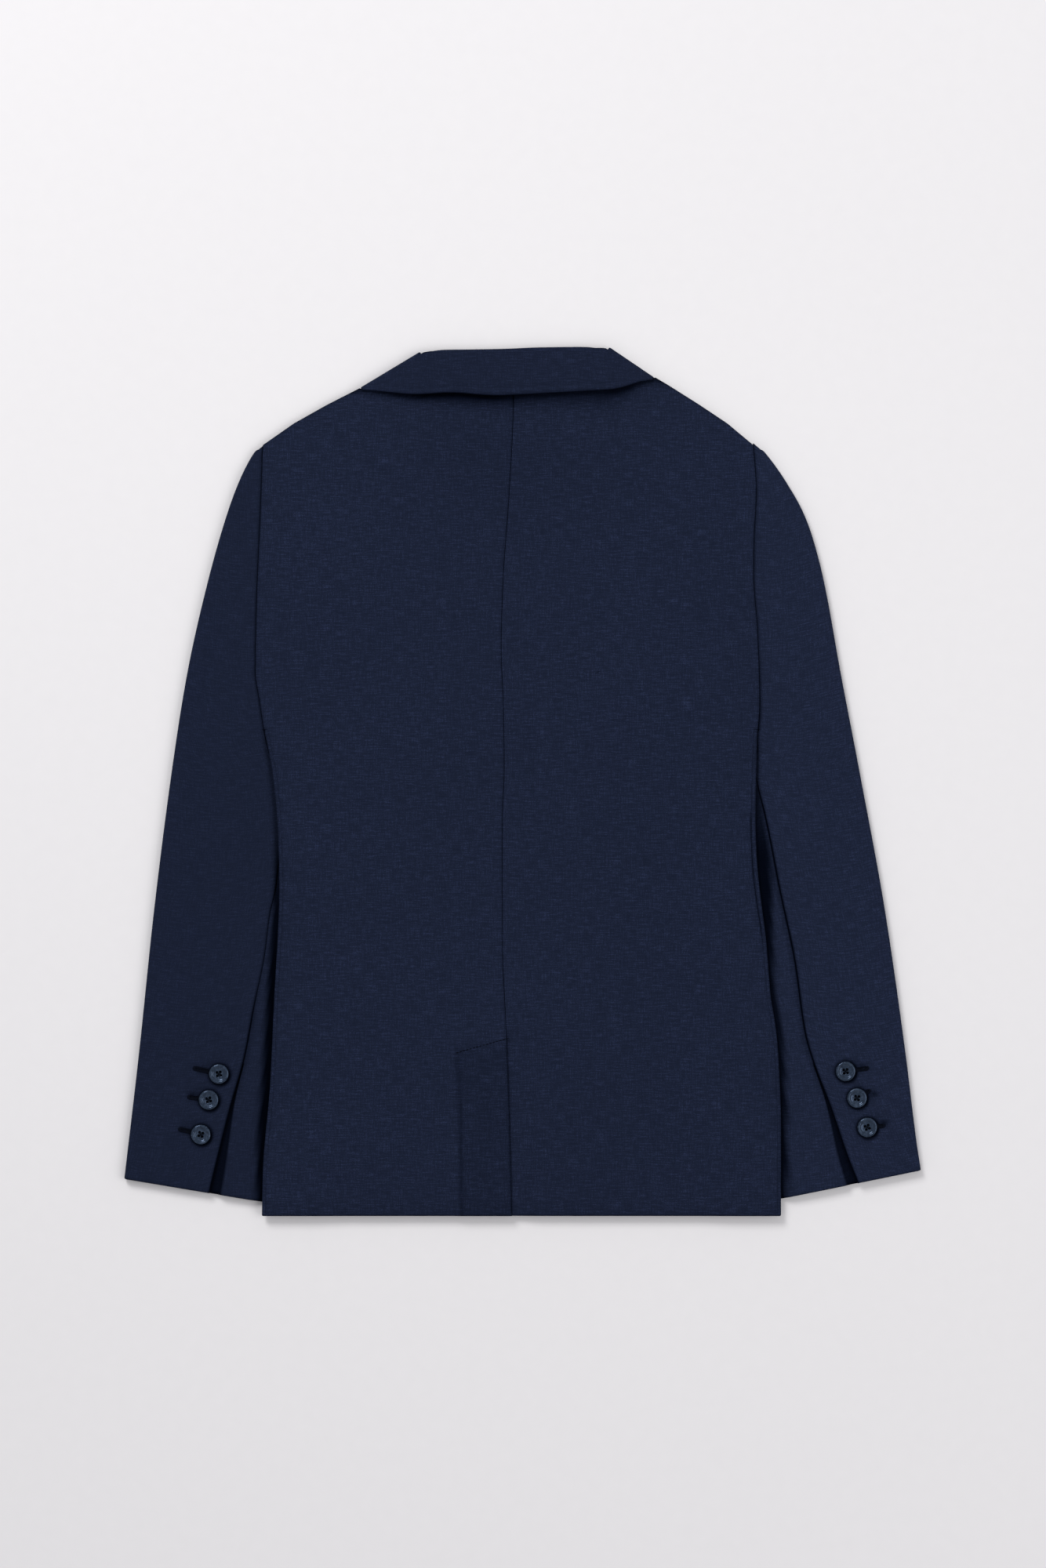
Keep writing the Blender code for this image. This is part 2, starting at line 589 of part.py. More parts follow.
def make_collar_stand():
    """Strip from the neck seam up to the collar's roll, under the fall."""
    neck = tuple(LEFT["neck"]) + tuple(RIGHT["neck"][1:])
    x = np.linspace(-58, 46, 13)
    low = np.interp(x, [row[0] for row in neck], [row[1] for row in neck]) + SEAM_GAP + 0.5
    high = along(FALL_ROLL, x) - 1.5
    share = np.linspace(0, 1, 4)[:, None]
    y = blend(low, high, share)
    grid = np.dstack((np.broadcast_to(x, y.shape), y, np.full(y.shape, STAND_HEIGHT)))
    wall("collar_stand", grid, STAND_WALL, FABRIC_NAVY)


def turned_button_mesh():
    """Dished button with a raised rim and four holes, base at height 0."""
    rings = ((0, 5.2), (0.5, 6.9), (1.5, BUTTON_RADIUS), (BUTTON_HEIGHT - 0.25, 7.1),
             (BUTTON_HEIGHT, 6.2), (BUTTON_HEIGHT - 0.3, 5.2), (BUTTON_HEIGHT - 0.9, 4.4))
    sides = 18
    points = [(radius * math.cos(2 * math.pi * k / sides) * MM,
               radius * math.sin(2 * math.pi * k / sides) * MM, height * MM)
              for height, radius in rings for k in range(sides)]
    faces = [tuple(reversed(range(sides)))]
    for ring in range(len(rings) - 1):
        for k in range(sides):
            a, b = ring * sides + k, ring * sides + (k + 1) % sides
            faces.append((a, b, b + sides, a + sides))
    faces.append(tuple(range((len(rings) - 1) * sides, len(rings) * sides)))
    mesh = bpy.data.meshes.new("button_blank")
    mesh.from_pydata(points, [], faces)
    return mesh


def hole_cutter():
    """Four upright rods that cut the sewing holes."""
    sides = 8
    points, faces = [], []
    for quarter in range(4):
        turn = math.radians(45 + 90 * quarter)
        centre = (BUTTON_HOLE_OFFSET * math.sqrt(2) * math.cos(turn),
                  BUTTON_HOLE_OFFSET * math.sqrt(2) * math.sin(turn))
        base = len(points)
        for height in (-1, BUTTON_HEIGHT + 1):
            for k in range(sides):
                angle = 2 * math.pi * k / sides
                points.append(((centre[0] + BUTTON_HOLE_RADIUS * math.cos(angle)) * MM,
                               (centre[1] + BUTTON_HOLE_RADIUS * math.sin(angle)) * MM, height * MM))
        faces.append(tuple(reversed(range(base, base + sides))))
        faces.append(tuple(range(base + sides, base + 2 * sides)))
        for k in range(sides):
            a, b = base + k, base + (k + 1) % sides
            faces.append((a, b, b + sides, a + sides))
    mesh = bpy.data.meshes.new("hole_cutter")
    mesh.from_pydata(points, [], faces)
    cutter = bpy.data.objects.new("hole_cutter", mesh)
    bpy.context.scene.collection.objects.link(cutter)
    cutter.hide_render = True
    cutter.display_type = "WIRE"
    return cutter


def make_buttons():
    blank = bpy.data.objects.new("button_blank", turned_button_mesh())
    bpy.context.scene.collection.objects.link(blank)
    cut = blank.modifiers.new("holes", "BOOLEAN")
    cut.operation = "DIFFERENCE"
    cut.object = hole_cutter()
    evaluated = blank.evaluated_get(bpy.context.evaluated_depsgraph_get())
    drilled = bpy.data.meshes.new_from_object(evaluated)
    bpy.data.objects.remove(blank)
    for side, half in (("left", LEFT), ("right", RIGHT)):
        for number, (x, y) in enumerate(half["buttons"], start=1):
            spread = 6.0
            around = [float(sleeve_top(half, np.array(x + dx), np.array(y + dy)))
                      for dx, dy in ((spread, 0), (-spread, 0), (0, spread), (0, -spread))]
            slope_x = (around[0] - around[1]) / (2 * spread)
            slope_y = (around[2] - around[3]) / (2 * spread)
            height = float(sleeve_top(half, np.array(x), np.array(y))) + SLEEVE_WALL / 2 + 0.4
            made = add_object("cuff_button_%s_%d" % (side, number), drilled.copy(), BUTTON_BLUE, 0.25)
            made.location = (x * MM, y * MM, height * MM)
            made.rotation_euler = (math.atan(slope_y), -math.atan(slope_x), 0)


def clear_scene():
    for old in list(bpy.data.objects):
        bpy.data.objects.remove(old)


def main():
    clear_scene()
    for side, half in (("left", LEFT), ("right", RIGHT)):
        make_back(half, "back_" + side)
        make_side(half, "side_" + side)
        make_front(half, "front_" + side)
        make_lapel(half, "lapel_" + side, 0 if half is LEFT else 1)
        make_top_sleeve(half, "top_sleeve_" + side)
        make_under_sleeve(half, "under_sleeve_" + side)
    make_collar_fall()
    make_collar_stand()
    make_buttons()


main()
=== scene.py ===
# %% [markdown]
# # A boy's navy linen jacket, laid flat on its front
#
# The jacket lies with its back upward on a pale surface, and the camera looks straight down on it.
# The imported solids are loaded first. They are the fixed frame: every piece of cloth made below
# follows the form of its solid, in the same place and within about a millimetre of its height, as a
# thin shell with rolled edges, seams, pressed folds and creases.
# %% Load the frame
import math

import bpy
import numpy as np
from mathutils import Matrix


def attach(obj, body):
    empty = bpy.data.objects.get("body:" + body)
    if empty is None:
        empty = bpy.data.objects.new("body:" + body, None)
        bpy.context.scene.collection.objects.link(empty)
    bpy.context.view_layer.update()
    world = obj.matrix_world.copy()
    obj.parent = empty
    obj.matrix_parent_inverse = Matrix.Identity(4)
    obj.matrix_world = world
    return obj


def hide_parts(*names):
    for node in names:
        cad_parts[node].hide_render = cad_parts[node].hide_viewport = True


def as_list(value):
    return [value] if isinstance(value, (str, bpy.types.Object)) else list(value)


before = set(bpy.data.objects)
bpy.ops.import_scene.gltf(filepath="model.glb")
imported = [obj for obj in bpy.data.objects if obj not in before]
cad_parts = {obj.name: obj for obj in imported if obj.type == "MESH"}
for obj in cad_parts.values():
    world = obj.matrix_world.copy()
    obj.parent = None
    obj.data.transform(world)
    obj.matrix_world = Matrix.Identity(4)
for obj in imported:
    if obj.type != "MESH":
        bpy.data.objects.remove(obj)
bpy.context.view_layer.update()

# %% [markdown]
# ## Sizes of the cloth and heights of its layers
#
# A jacket that lies flat is a stack of cloth. From the surface upward there are the lapels and the
# ends of the collar, the fronts, and the back. A layer's height could come from a simulation, but
# pressed tailoring hardly sags, so each height is written down as a rule and the layers can't cross.
# Sizes are in millimetres until a mesh is made.
# %% Sizes and heights
MM = 0.001
BACK_WALL = 2.0
FRONT_WALL = 1.4
LAPEL_WALL = 1.2
SIDE_WALL = 1.6
SLEEVE_WALL = 1.5
COLLAR_WALL = 1.8
STAND_WALL = 1.6
SEAM_GAP = 0.03
HALF_GAP = SEAM_GAP / 2

BACK_HEIGHT = 6.0
BACK_NECK_HEIGHT = 4.9
BACK_EDGE_LIFT = 1.0
SHOULDER_EDGE_HEIGHT = 4.75
SHOULDER_FRONT_LIFT = 1.9
VENT_LAP_LIFT = 0.95
VENT_UNDERLAP_HEIGHT = 4.6
FRONT_HEIGHT = FRONT_WALL / 2
LAPEL_LIFT = 1.5
COLLAR_LIFT = 2.1
FRONT_LAP = 2.0
SIDE_OVER_SLEEVE = 4.55
LIFT_SHOULDER = 18.0
LIFT_END = 42.0
FOLD_WIDTH = 1.7
SLEEVE_LOW = SLEEVE_WALL / 2
SLEEVE_CROWN = 5.75
SLEEVE_TUCKED = 2.65
FALL_HEIGHT = 7.25
FALL_EDGE_LIFT = 1.7
STAND_HEIGHT = 4.75

CENTRE_X = -6.0
HEM_Y = -331.5
BODY_TOP_Y = 257.5
UNDERARM_Y = 40.0
TUCK_START_Y = 24.0
VENT_TOP_Y = -206.0
VENT_WIDTH = 38.0
CUFF_VENT_Y = -205.0
CUFF_UNDERLAP = 18.0
NECK_SEAM_Y = 306.0
BREAK_Y = 5.0
ROLL_TOP = (72.0, 322.0)
BUTTON_RADIUS = 7.5
print("layers under the back: lapel top at", LAPEL_WALL, "mm, front at", FRONT_HEIGHT + LAPEL_LIFT, "mm")

# %% [markdown]
# ## The cut, as short tables
#
# A pattern cutter draws a panel from a few measured points and a smooth curve through them. The same
# is done here: each table gives an edge or a seam at a few heights on the jacket, and a monotone
# curve is drawn through them, which never swings past a point as a plain spline may. A button has its
# place and its turn in degrees, and a buttonhole its run outward from the button and its direction.
# %% Outline and seam tables
LEFT = {
    "sign": -1,
    "outer": ((257.5, -198.5), (250.5, -205.5), (236, -213.9), (208.5, -224.7), (154.5, -240.3),
              (82.5, -256.5), (10.5, -267.9), (-97.5, -281.7), (-205.5, -293.1), (-303.3, -304.5)),
    "edge": ((257.5, -198.5), (213, -200), (133, -203.3), (85, -204.2), (62, -201), (40.5, -197.7),
             (20, -193.2), (-1.5, -189.9), (-37.5, -186.9), (-80, -185.9), (-168, -189.9),
             (-231, -192.9), (-295, -198.3), (-331.5, -199.2)),
    "hindarm": ((40, -201), (24, -197), (4, -187), (-47, -185.5), (-76.5, -188), (-100, -193),
                (-131.7, -197), (-170.7, -204.9), (-209.7, -212.2), (-248.7, -223.1),
                (-286, -232.5), (-314, -239.2)),
    "seam_inset": ((40, 2.9), (-331.5, 2.9)),
    "shoulder": ((-198.5, 257.5), (-174.9, 274.0), (-149.7, 288.2), (-124.5, 301.0), (-122.3, 300.2),
                 (-100, 313.4), (-78.2, 325.8)),
    "neck": ((-78.2, 325.8), (-66, 316), (-45, 309), (-25, 306.7), (-6.2, 306)),
    "slot": ((40, 2), (-40, 3), (-60, 3.5), (-100, 4.5), (-150, 5.5), (-200, 6.5), (-245, 7.5), (-300, 5)),
    # Painted shadow in the slot beside the body, its strength and its reach by y; then painted shade along
    # the hindarm seam
    "slot_painted_shade": ((40, 0.15), (-30, 0.3), (-60, 0.65), (-100, 0.9), (-150, 1.0), (-300, 1.0)),
    "shade": ((40, 1.5), (-40, 3), (-100, 5.5), (-200, 7.5), (-250, 8), (-300, 5.5)),
    "seam_shade": ((40, 0), (12, 0), (-10, 0.2), (-140, 0.3), (-180, 0.85), (-300, 0.9)),
    "cuff_slope": 0.167,
    "buttons": ((-231.9, -222.9), (-239.7, -242.7), (-245.7, -269.1)),
    "button_turns": (4, 14, -14),
    "buttonholes": ((18.9, 167), (14.8, 172), (16.2, 166)),
}
RIGHT = {
    "sign": 1,
    "outer": ((257.5, 179.5), (250.5, 185.7), (241, 193.5), (226.5, 203.1), (208.5, 213.3),
              (190.5, 220.5), (154.5, 230.1), (82.5, 243.3), (10.5, 257.1), (-97.5, 276.9),
              (-205.5, 292.5), (-277.5, 301.5), (-296.7, 304.5)),
    "edge": ((257.5, 176.3), (222, 178.5), (182, 176.7), (158, 176.5), (113.7, 179.6), (62, 181.1),
             (25, 178.9), (-28.5, 177.9), (-58.4, 178.9), (-92.7, 182.4), (-118, 185.7),
             (-163.9, 189.6), (-184.5, 192.9), (-207, 195.2), (-265, 197.4), (-331.5, 197.4)),
    "hindarm": ((40, 183), (24, 180), (9, 177.5), (-3.3, 180.1), (-39.9, 188.1), (-81.3, 196.1),
                (-136.5, 207.7), (-191.5, 215.7), (-212, 221.4), (-248.7, 235.2), (-285.6, 247.8),
                (-306.3, 255.9)),
    "seam_inset": ((40, 2.9), (0, 3.1), (-40, 3.6), (-80, 3.7), (-120, 3.0), (-331.5, 2.9)),
    "shoulder": ((64.7, 329.6), (80, 320.4), (98.8, 308.9), (101.2, 309.3), (111.9, 303.0),
                 (134.7, 288.6), (156.3, 274.2), (176.3, 257.5)),
    "neck": ((-5.6, 306), (12, 306.8), (33, 309.5), (54, 318), (64.7, 329.6)),
    "slot": ((40, 2), (0, 2.5), (-28, 4), (-70, 6.5), (-110, 6), (-150, 4), (-190, 4.5),
             (-235, 5.5), (-300, 5)),
    # Painted shadow in the slot beside the body, its strength and its reach by y; then painted shade along
    # the hindarm seam
    "slot_painted_shade": ((110, 0.12), (70, 0.3), (40, 0.5), (0, 0.55), (-28, 0.75), (-60, 0.95),
                   (-110, 0.95), (-150, 0.85), (-300, 0.9)),
    "shade": ((40, 1.5), (5, 2), (-28, 8), (-60, 13), (-80, 12), (-105, 8.5), (-140, 5.5), (-300, 6)),
    "seam_shade": ((40, 0), (16, 0), (-2, 0.6), (-30, 0.95), (-300, 0.9)),
    "cuff_slope": 0.2045,
    "buttons": ((246.6, -220.9), (255.3, -241.3), (263.1, -263.7)),
    "button_turns": (8, -6, 11),
    "buttonholes": ((16.6, 8), (10.6, 30), (12.4, 6)),
}
SIDES = (("left", LEFT), ("right", RIGHT))
CENTRE_BACK = ((306, -5.9), (257.7, -7.9), (202.5, -11.2), (158, -14.5), (102, -16.1), (58, -14.4),
               (10, -13.8), (-30, -15.2), (-127, -15), (-184, -12.6), (-242, -10.5), (-331.5, -8.1))
TUCK = ((40.2, -0.05), (24, -0.05), (10, 6), (-8, 13), (-25, 19), (-50, 23), (-90, 24), (-200, 18),
        (-260, 14), (-331.5, 10))
FRONT_SEAM = ((-331.5, 68), (-200, 67), (-80, 66), (-12, 61), (10, 54), (25, 47), (40, 38), (44, 35),
              (75, 20), (110, 10), (145, 5), (180, 3), (220, 1), (257.5, 0.2))
FRONT_EDGE = ((-331.5, 14), (-322, 4), (-305, -7), (-280, -14), (-240, -17.5), (-200, -18),
              (BREAK_Y, -18), (ROLL_TOP[1], ROLL_TOP[0]))
COVER = ((-45, -62), (5, -20), (25, 4), (40, 14), (80, 38), (140, 70), (195, 98), (232, 114),
         (270, 120), (324, 121))
LAPEL_ROLL = ((-15.5, 9.5), (1.5, 73), (20, 138), (38, 202), (56, 266))
LAPEL_EDGE = ((-13, 8), (14, 48), (38, 96), (66, 150), (92, 200), (110, 232))
LAPEL_TOP = ((56, 266), (71, 259.5), (86, 252.8), (97, 241.5), (110, 232))
FALL_EDGE = ((-122.6, 299.3), (-110, 298.3), (-95.7, 296.8), (-82.9, 295.9), (-55.6, 297.2),
             (-20.2, 295.1), (0.7, 295.9), (24.8, 297.2), (45.7, 298.4), (67.4, 299.6),
             (79.4, 302.2), (89, 305.4), (99.1, 307.1))
# How dark the painted shadow under the collar's edge is and how far it reaches: x, value
COLLAR_SHADE = ((-123, 0.5), (-95, 0.8), (-70, 1.0), (-35, 1.0), (0, 0.8), (40, 0.75), (75, 0.85),
                (99, 0.6))
COLLAR_SHADE_REACH = ((-123, 2.0), (-80, 4.0), (-50, 6.5), (-10, 6.5), (30, 8.0), (60, 9.5),
                      (99, 3.0))
FALL_ROLL = ((-77.2, 326.6), (-75.2, 328.3), (-66, 329.3), (-39.3, 329.6), (-13.5, 330.1),
             (13.5, 331.2), (56, 331.6), (62.6, 331.5), (65, 330.2))


def along(table, value):
    """Smooth value of a two-column table at one place or at an array of places."""
    rows = sorted(table)
    place = np.array([row[0] for row in rows], float)
    size = np.array([row[1] for row in rows], float)
    step = np.diff(place)
    slope = np.diff(size) / step
    tangent = np.zeros(len(rows))
    tangent[0], tangent[-1] = slope[0], slope[-1]
    same = slope[:-1] * slope[1:] > 0
    total = np.where(same, slope[:-1] + slope[1:], 1.0)
    tangent[1:-1] = np.where(same, 2 * slope[:-1] * slope[1:] / total, 0.0)
    value = np.clip(np.asarray(value, float), place[0], place[-1])
    index = np.clip(np.searchsorted(place, value, side="right") - 1, 0, len(step) - 1)
    width = step[index]
    t = (value - place[index]) / width
    return ((2 * t**3 - 3 * t**2 + 1) * size[index] + (t**3 - 2 * t**2 + t) * width * tangent[index]
            + (3 * t**2 - 2 * t**3) * size[index + 1] + (t**3 - t**2) * width * tangent[index + 1])


def straight(table, value):
    """Value of a two-column table whose points are joined by straight lines."""
    return np.interp(value, [row[0] for row in table], [row[1] for row in table])


def fade(value, start, end):
    """Soft step: 0 at start, 1 at end."""
    t = np.clip((np.asarray(value, float) - start) / (end - start), 0, 1)
    return t * t * (3 - 2 * t)


def blend(low, high, share):
    """Value between low and high at a share of the way."""
    return low + (high - low) * share


shoulder_width = along(RIGHT["outer"], BODY_TOP_Y) - along(LEFT["outer"], BODY_TOP_Y)
print("shoulder width:", round(float(shoulder_width)), "mm")
print("back length:", round(NECK_SEAM_Y - HEM_Y), "mm")

# %% [markdown]
# ## Creases and pressed folds
#
# Linen keeps every crease it is given. The main ones are listed one by one: each row of a table is a
# soft trough or ridge with its place, direction, length, width and height, uneven as the real ones
# are. Fine crinkles are left to the material's bump, because they are narrower than the mesh.
# %% Crease tables
# x, y, turn in degrees, half length, half width, height
BACK_CREASES = (
    (-6, 50, 90, 75, 34, 0.45),
    (-150, 130, 78, 90, 14, -0.45),
    (-120, 20, 65, 70, 12, 0.4),
    (140, 120, 100, 80, 13, -0.45),
    (120, -10, 112, 70, 12, 0.4),
    (-110, -240, 86, 80, 16, 0.35),
    (90, -230, 96, 75, 15, -0.35),
    (62, 96, 172, 38, 5, -0.22),
    (78, 70, 176, 46, 5, 0.20),
    (58, 46, 168, 40, 4.5, -0.22),
    (96, 30, 178, 44, 5, 0.18),
    (120, -2, 8, 40, 5, -0.22),
    (80, -22, 174, 46, 5.5, 0.18),
    (150, -45, 14, 30, 5, -0.2),
    (50, -62, 170, 40, 5, -0.18),
    (110, -92, 4, 44, 6, 0.18),
    (-70, 40, 8, 36, 5, -0.16),
    (-110, 62, 14, 34, 5, 0.16),
    (-60, -8, 174, 34, 5, 0.14),
    (-140, -30, 160, 30, 5, -0.16),
    (-80, -70, 4, 36, 5, -0.14),
    (-120, 205, 60, 50, 16, 0.28),
    (118, 215, 118, 50, 16, 0.28),
    (-60, 240, 20, 36, 12, -0.2),
    (62, 246, 158, 36, 12, -0.2),
    (-165, -165, 84, 70, 7, -0.3),
    (166, -175, 95, 70, 7, -0.3),
    (-62, -290, 88, 38, 6, 0.2),
    (40, -285, 92, 40, 8, 0.22),
    (128, -292, 80, 34, 9, 0.2),
    (-30.8, -201.2, 15.6, 17, 0.9, -0.4),
)
SLEEVE_CREASES = (
    (-238, -60, 96, 60, 9, -0.6),
    (-262, -150, 84, 70, 8, 0.4),
    (-232, 110, 82, 60, 8, -0.5),
    (-248, 0, 150, 24, 6, 0.28),
    (-228, 26, 158, 22, 5, -0.3),
    (-256, -38, 20, 24, 6, -0.25),
    (-270, -235, 78, 50, 6, -0.3),
    (-222, 172, 66, 34, 7, 0.3),
    (236, -50, 84, 60, 9, -0.6),
    (262, -160, 98, 70, 8, 0.4),
    (214, 120, 98, 60, 8, -0.5),
    (240, 8, 30, 24, 6, 0.28),
    (222, 30, 24, 22, 5, -0.3),
    (252, -38, 160, 24, 6, -0.25),
    (284, -240, 100, 50, 6, -0.3),
    (204, 170, 112, 34, 7, 0.3),
)
# Trough pressed round each sleeve button by its thread: depth, distance, half width
BUTTON_PULL, BUTTON_PULL_RADIUS, BUTTON_PULL_WIDTH = 0.35, 8.5, 3.5


def spots(table, x, y):
    """Sum of soft round spots. Columns: x, y, half width, half height, amount."""
    return sum(amount * np.exp(-((x - spot_x) / width) ** 2 - ((y - spot_y) / height) ** 2)
               for spot_x, spot_y, width, height, amount in table)


def creases(table, x, y):
    """Height of the troughs and ridges of a table at points x, y."""
    height = np.zeros(np.shape(x))
    for centre_x, centre_y, turn, half_length, half_width, rise in table:
        angle = math.radians(turn)
        run = (x - centre_x) * math.cos(angle) + (y - centre_y) * math.sin(angle)
        side = (y - centre_y) * math.cos(angle) - (x - centre_x) * math.sin(angle)
        height = height + rise * np.exp(-(run / half_length) ** 2 - (side / half_width) ** 2)
    return height


print("creases on the back:", len(BACK_CREASES), "and on the sleeves:", len(SLEEVE_CREASES))

# %% [markdown]
# ## Layer heights
#
# The height functions give the middle of each layer of cloth over the plan. They are the rules that the
# solids follow, with creases added and the folds beside the sleeves a little deeper. The two last
# functions paint shade into the cloth's colour: in the folds beside the body, under the collar's edge,
# round the buttons and along the back vent. They also draw plain darker patches by the buttonholes and at
# the hem.
# %% Height of each layer
# Where the sleeve's cap sinks to the shoulder and how far, and where the collar bares the shoulder
CAP_START_Y, CAP_END_Y, CAP_SINK, CAP_LIFT = 228, 254, 1.15, 0.85
COLLAR_BARES = (112, 124)
SHOULDER_ROUNDS_IN = (0, 11)
# The back, by distance in from its side seam: lifted by the sleeve, and free of creases at the seam
LIFTED_IN, CALM_IN = (34, 70), (2, 14)
# The back by y: where the neck sinks, and where it sinks in the middle over the hollow of the lapels
NECK_Y, HOLLOW_Y = (222, 285), (115, 180)
HOLLOW_HALF_WIDTH, HOLLOW_SPREAD, HOLLOW_ENDS = 16, 0.2, (60, 330)
# The vent: below its top, past the lap's pressed edge, and over the underlap's rise to the seam
VENT_BELOW, LAP_EDGE, UNDERLAP_RISE = (30, 4), (-7, -1), 22
LAPEL_TO_COLLAR_Y = (218, 238)
# The sleeve, by distance out from the side seam: joined to the back, loose beside it, and creased
JOINED_OUT, LOOSE_OUT, CREASED_OUT = (2, 25), (2.5, 30), (8, 30)
SLOT_SHARE = 0.8
# Darker patches by each button, at its buttonhole and above it, drawn with the painted shade:
# outward, upward, half width, half height, strength
BUTTON_MARKS = ((7, 5, 8, 6, 0.16), (13, 3.2, 3.4, 2.8, 0.6))
# Painted shadow under each button and round it, shifted to the lower right: strength, radius where it
# starts to fade, fade width and shift
BUTTON_SHADOW, BUTTON_SHADOW_RADIUS, BUTTON_SHADOW_WIDTH, BUTTON_SHADOW_SHIFT = 0.95, 7.6, 1.6, 0.6
# Painted shade on the back: how far below the collar's edge its shadow starts, and how strong each
# mark is: darker over the vent's lap, painted shadow along the lap's edge, darker towards the hem
COLLAR_SHADE_START = 1.2
LAP_DARK, LAP_EDGE_SHADE, HEM_DARK = 0.14, 0.4, 0.10
# Painted shade over the hollow at the neck: x, y, half width, half height, amount
NECK_SHADE = ((-15, 255, 75, 60, 0.09),)


def shoulder_drop(half, x, y):
    """Nearness to the shoulder line outside the collar: 1 at the line, 0 well inside."""
    bare = fade(abs(x - CENTRE_X), *COLLAR_BARES)
    return (1 - fade((straight(half["shoulder"], x) - y) * 0.86, *SHOULDER_ROUNDS_IN)) * bare


def back_height(half, x, y):
    """Middle of the back: lower at the neck and the shoulders, higher where a sleeve lies below."""
    inside = np.abs(along(half["edge"], y) - x)
    over_sleeve = fade(y, UNDERARM_Y, TUCK_START_Y)
    height = BACK_HEIGHT + BACK_EDGE_LIFT * over_sleeve * (1 - fade(inside, *LIFTED_IN))
    hollow_width = HOLLOW_HALF_WIDTH + HOLLOW_SPREAD * np.clip(y, *HOLLOW_ENDS)
    hollow = np.exp(-((x - CENTRE_X) / hollow_width) ** 2) * fade(y, *HOLLOW_Y)
    sag = np.maximum(fade(y, *NECK_Y), hollow)
    height -= (BACK_HEIGHT - BACK_NECK_HEIGHT) * sag
    height += creases(BACK_CREASES, x, y) * (1 - sag) * fade(inside, *CALM_IN)
    below = fade(y - VENT_TOP_Y, *VENT_BELOW)
    from_seam = x - along(CENTRE_BACK, y)
    if half is LEFT:
        height += VENT_LAP_LIFT * below * fade(from_seam + VENT_WIDTH, *LAP_EDGE)
    else:
        share = below * (1 - fade(from_seam, 0, UNDERLAP_RISE))
        height = blend(height, VENT_UNDERLAP_HEIGHT, share)
    return blend(height, SHOULDER_EDGE_HEIGHT, shoulder_drop(half, x, y))


def lapel_lift(across, y):
    """How far the lapel or the collar's end lifts the front above it."""
    cover = along(COVER, y)
    lift = blend(LAPEL_LIFT, COLLAR_LIFT, fade(y, *LAPEL_TO_COLLAR_Y))
    return lift * (1 - fade(across, cover + LIFT_SHOULDER, cover + LIFT_END))


def front_height(half, x, y):
    """Middle of a front, over its own lapel and, on the right, under the left front."""
    lift = lapel_lift((x - CENTRE_X) * half["sign"], y)
    if half is RIGHT:
        beyond = x - (CENTRE_X - straight(FRONT_EDGE, y))
        over = lapel_lift(CENTRE_X - x, y) + FRONT_LAP
        lift = np.maximum(lift, over * (1 - fade(beyond, LIFT_SHOULDER + 12, LIFT_END + 14)))
    lift = np.maximum(lift, SHOULDER_FRONT_LIFT * shoulder_drop(half, x, y))
    return FRONT_HEIGHT + lift


def sleeve_top(half, x, y):
    """Middle of the sleeve's upper layer."""
    beyond = (x - along(half["edge"], y)) * half["sign"]
    slot = along(half["slot"], y)
    rise = SLOT_SHARE * fade(beyond, slot * 0.45, slot + 3) + (1 - SLOT_SHARE) * fade(beyond, *LOOSE_OUT)
    loose = blend(SLEEVE_TUCKED, SLEEVE_CROWN, rise)
    joined = blend(BACK_HEIGHT, SLEEVE_CROWN, fade(beyond, *JOINED_OUT))
    height = blend(joined, loose, fade(y, UNDERARM_Y, TUCK_START_Y))
    height = height + creases(SLEEVE_CREASES, x, y) * fade(beyond, *CREASED_OUT)
    for button_x, button_y in half["buttons"]:
        away = np.hypot(x - button_x, y - button_y)
        height = height - BUTTON_PULL * np.exp(-((away - BUTTON_PULL_RADIUS) / BUTTON_PULL_WIDTH) ** 2)
    return height - CAP_SINK * fade(y, CAP_START_Y, CAP_END_Y)


def sleeve_painted_shade(half, x, y):
    """Painted shade on the sleeve's upper cloth: beside the body and round the buttons."""
    beyond = (x - along(half["edge"], y)) * half["sign"]
    shade = along(half["shade"], y)
    painted_shade = along(half["slot_painted_shade"], y) * (1 - fade(beyond, shade * 0.6, shade + 1.2))
    for button_x, button_y in half["buttons"]:
        ring = np.hypot(x - button_x - BUTTON_SHADOW_SHIFT, y - button_y + BUTTON_SHADOW_SHIFT)
        past = np.clip(ring - BUTTON_SHADOW_RADIUS, 0, None)
        painted_shade = painted_shade + BUTTON_SHADOW * np.exp(-(past / BUTTON_SHADOW_WIDTH) ** 2)
        painted_shade = painted_shade + spots(BUTTON_MARKS, (x - button_x) * half["sign"], y - button_y)
    return np.clip(painted_shade, 0, 1)


def back_painted_shade(half, x, y):
    """Painted shade on the back, under the collar's edge, on the vent and at the neck, with a darker hem.
    """
    below = along(FALL_EDGE, x) - y - COLLAR_SHADE_START
    reach = along(COLLAR_SHADE_REACH, x)
    painted_shade = along(COLLAR_SHADE, x) * np.exp(-(np.clip(below, 0, None) / reach) ** 1.5)
    from_seam = x - along(CENTRE_BACK, y)
    lap = fade(from_seam, -VENT_WIDTH - 1.5, -VENT_WIDTH + 2) * fade(from_seam, 1, -1)
    # Painted shadow along the lap's edge, where the left back steps down to the underlap
    pressed = np.exp(-((from_seam + VENT_WIDTH) / 1.6) ** 2)
    below_top = fade(y, VENT_TOP_Y + 12, VENT_TOP_Y - 4)
    painted_shade = painted_shade + (LAP_DARK * lap + LAP_EDGE_SHADE * pressed) * below_top
    painted_shade = painted_shade + spots(NECK_SHADE, x, y) + HEM_DARK * fade(y, HEM_Y + 16, HEM_Y)
    return np.clip(painted_shade, 0, 1)


print("back at the waist:", round(float(back_height(RIGHT, np.array(60.0), np.array(20.0))), 2), "mm high")

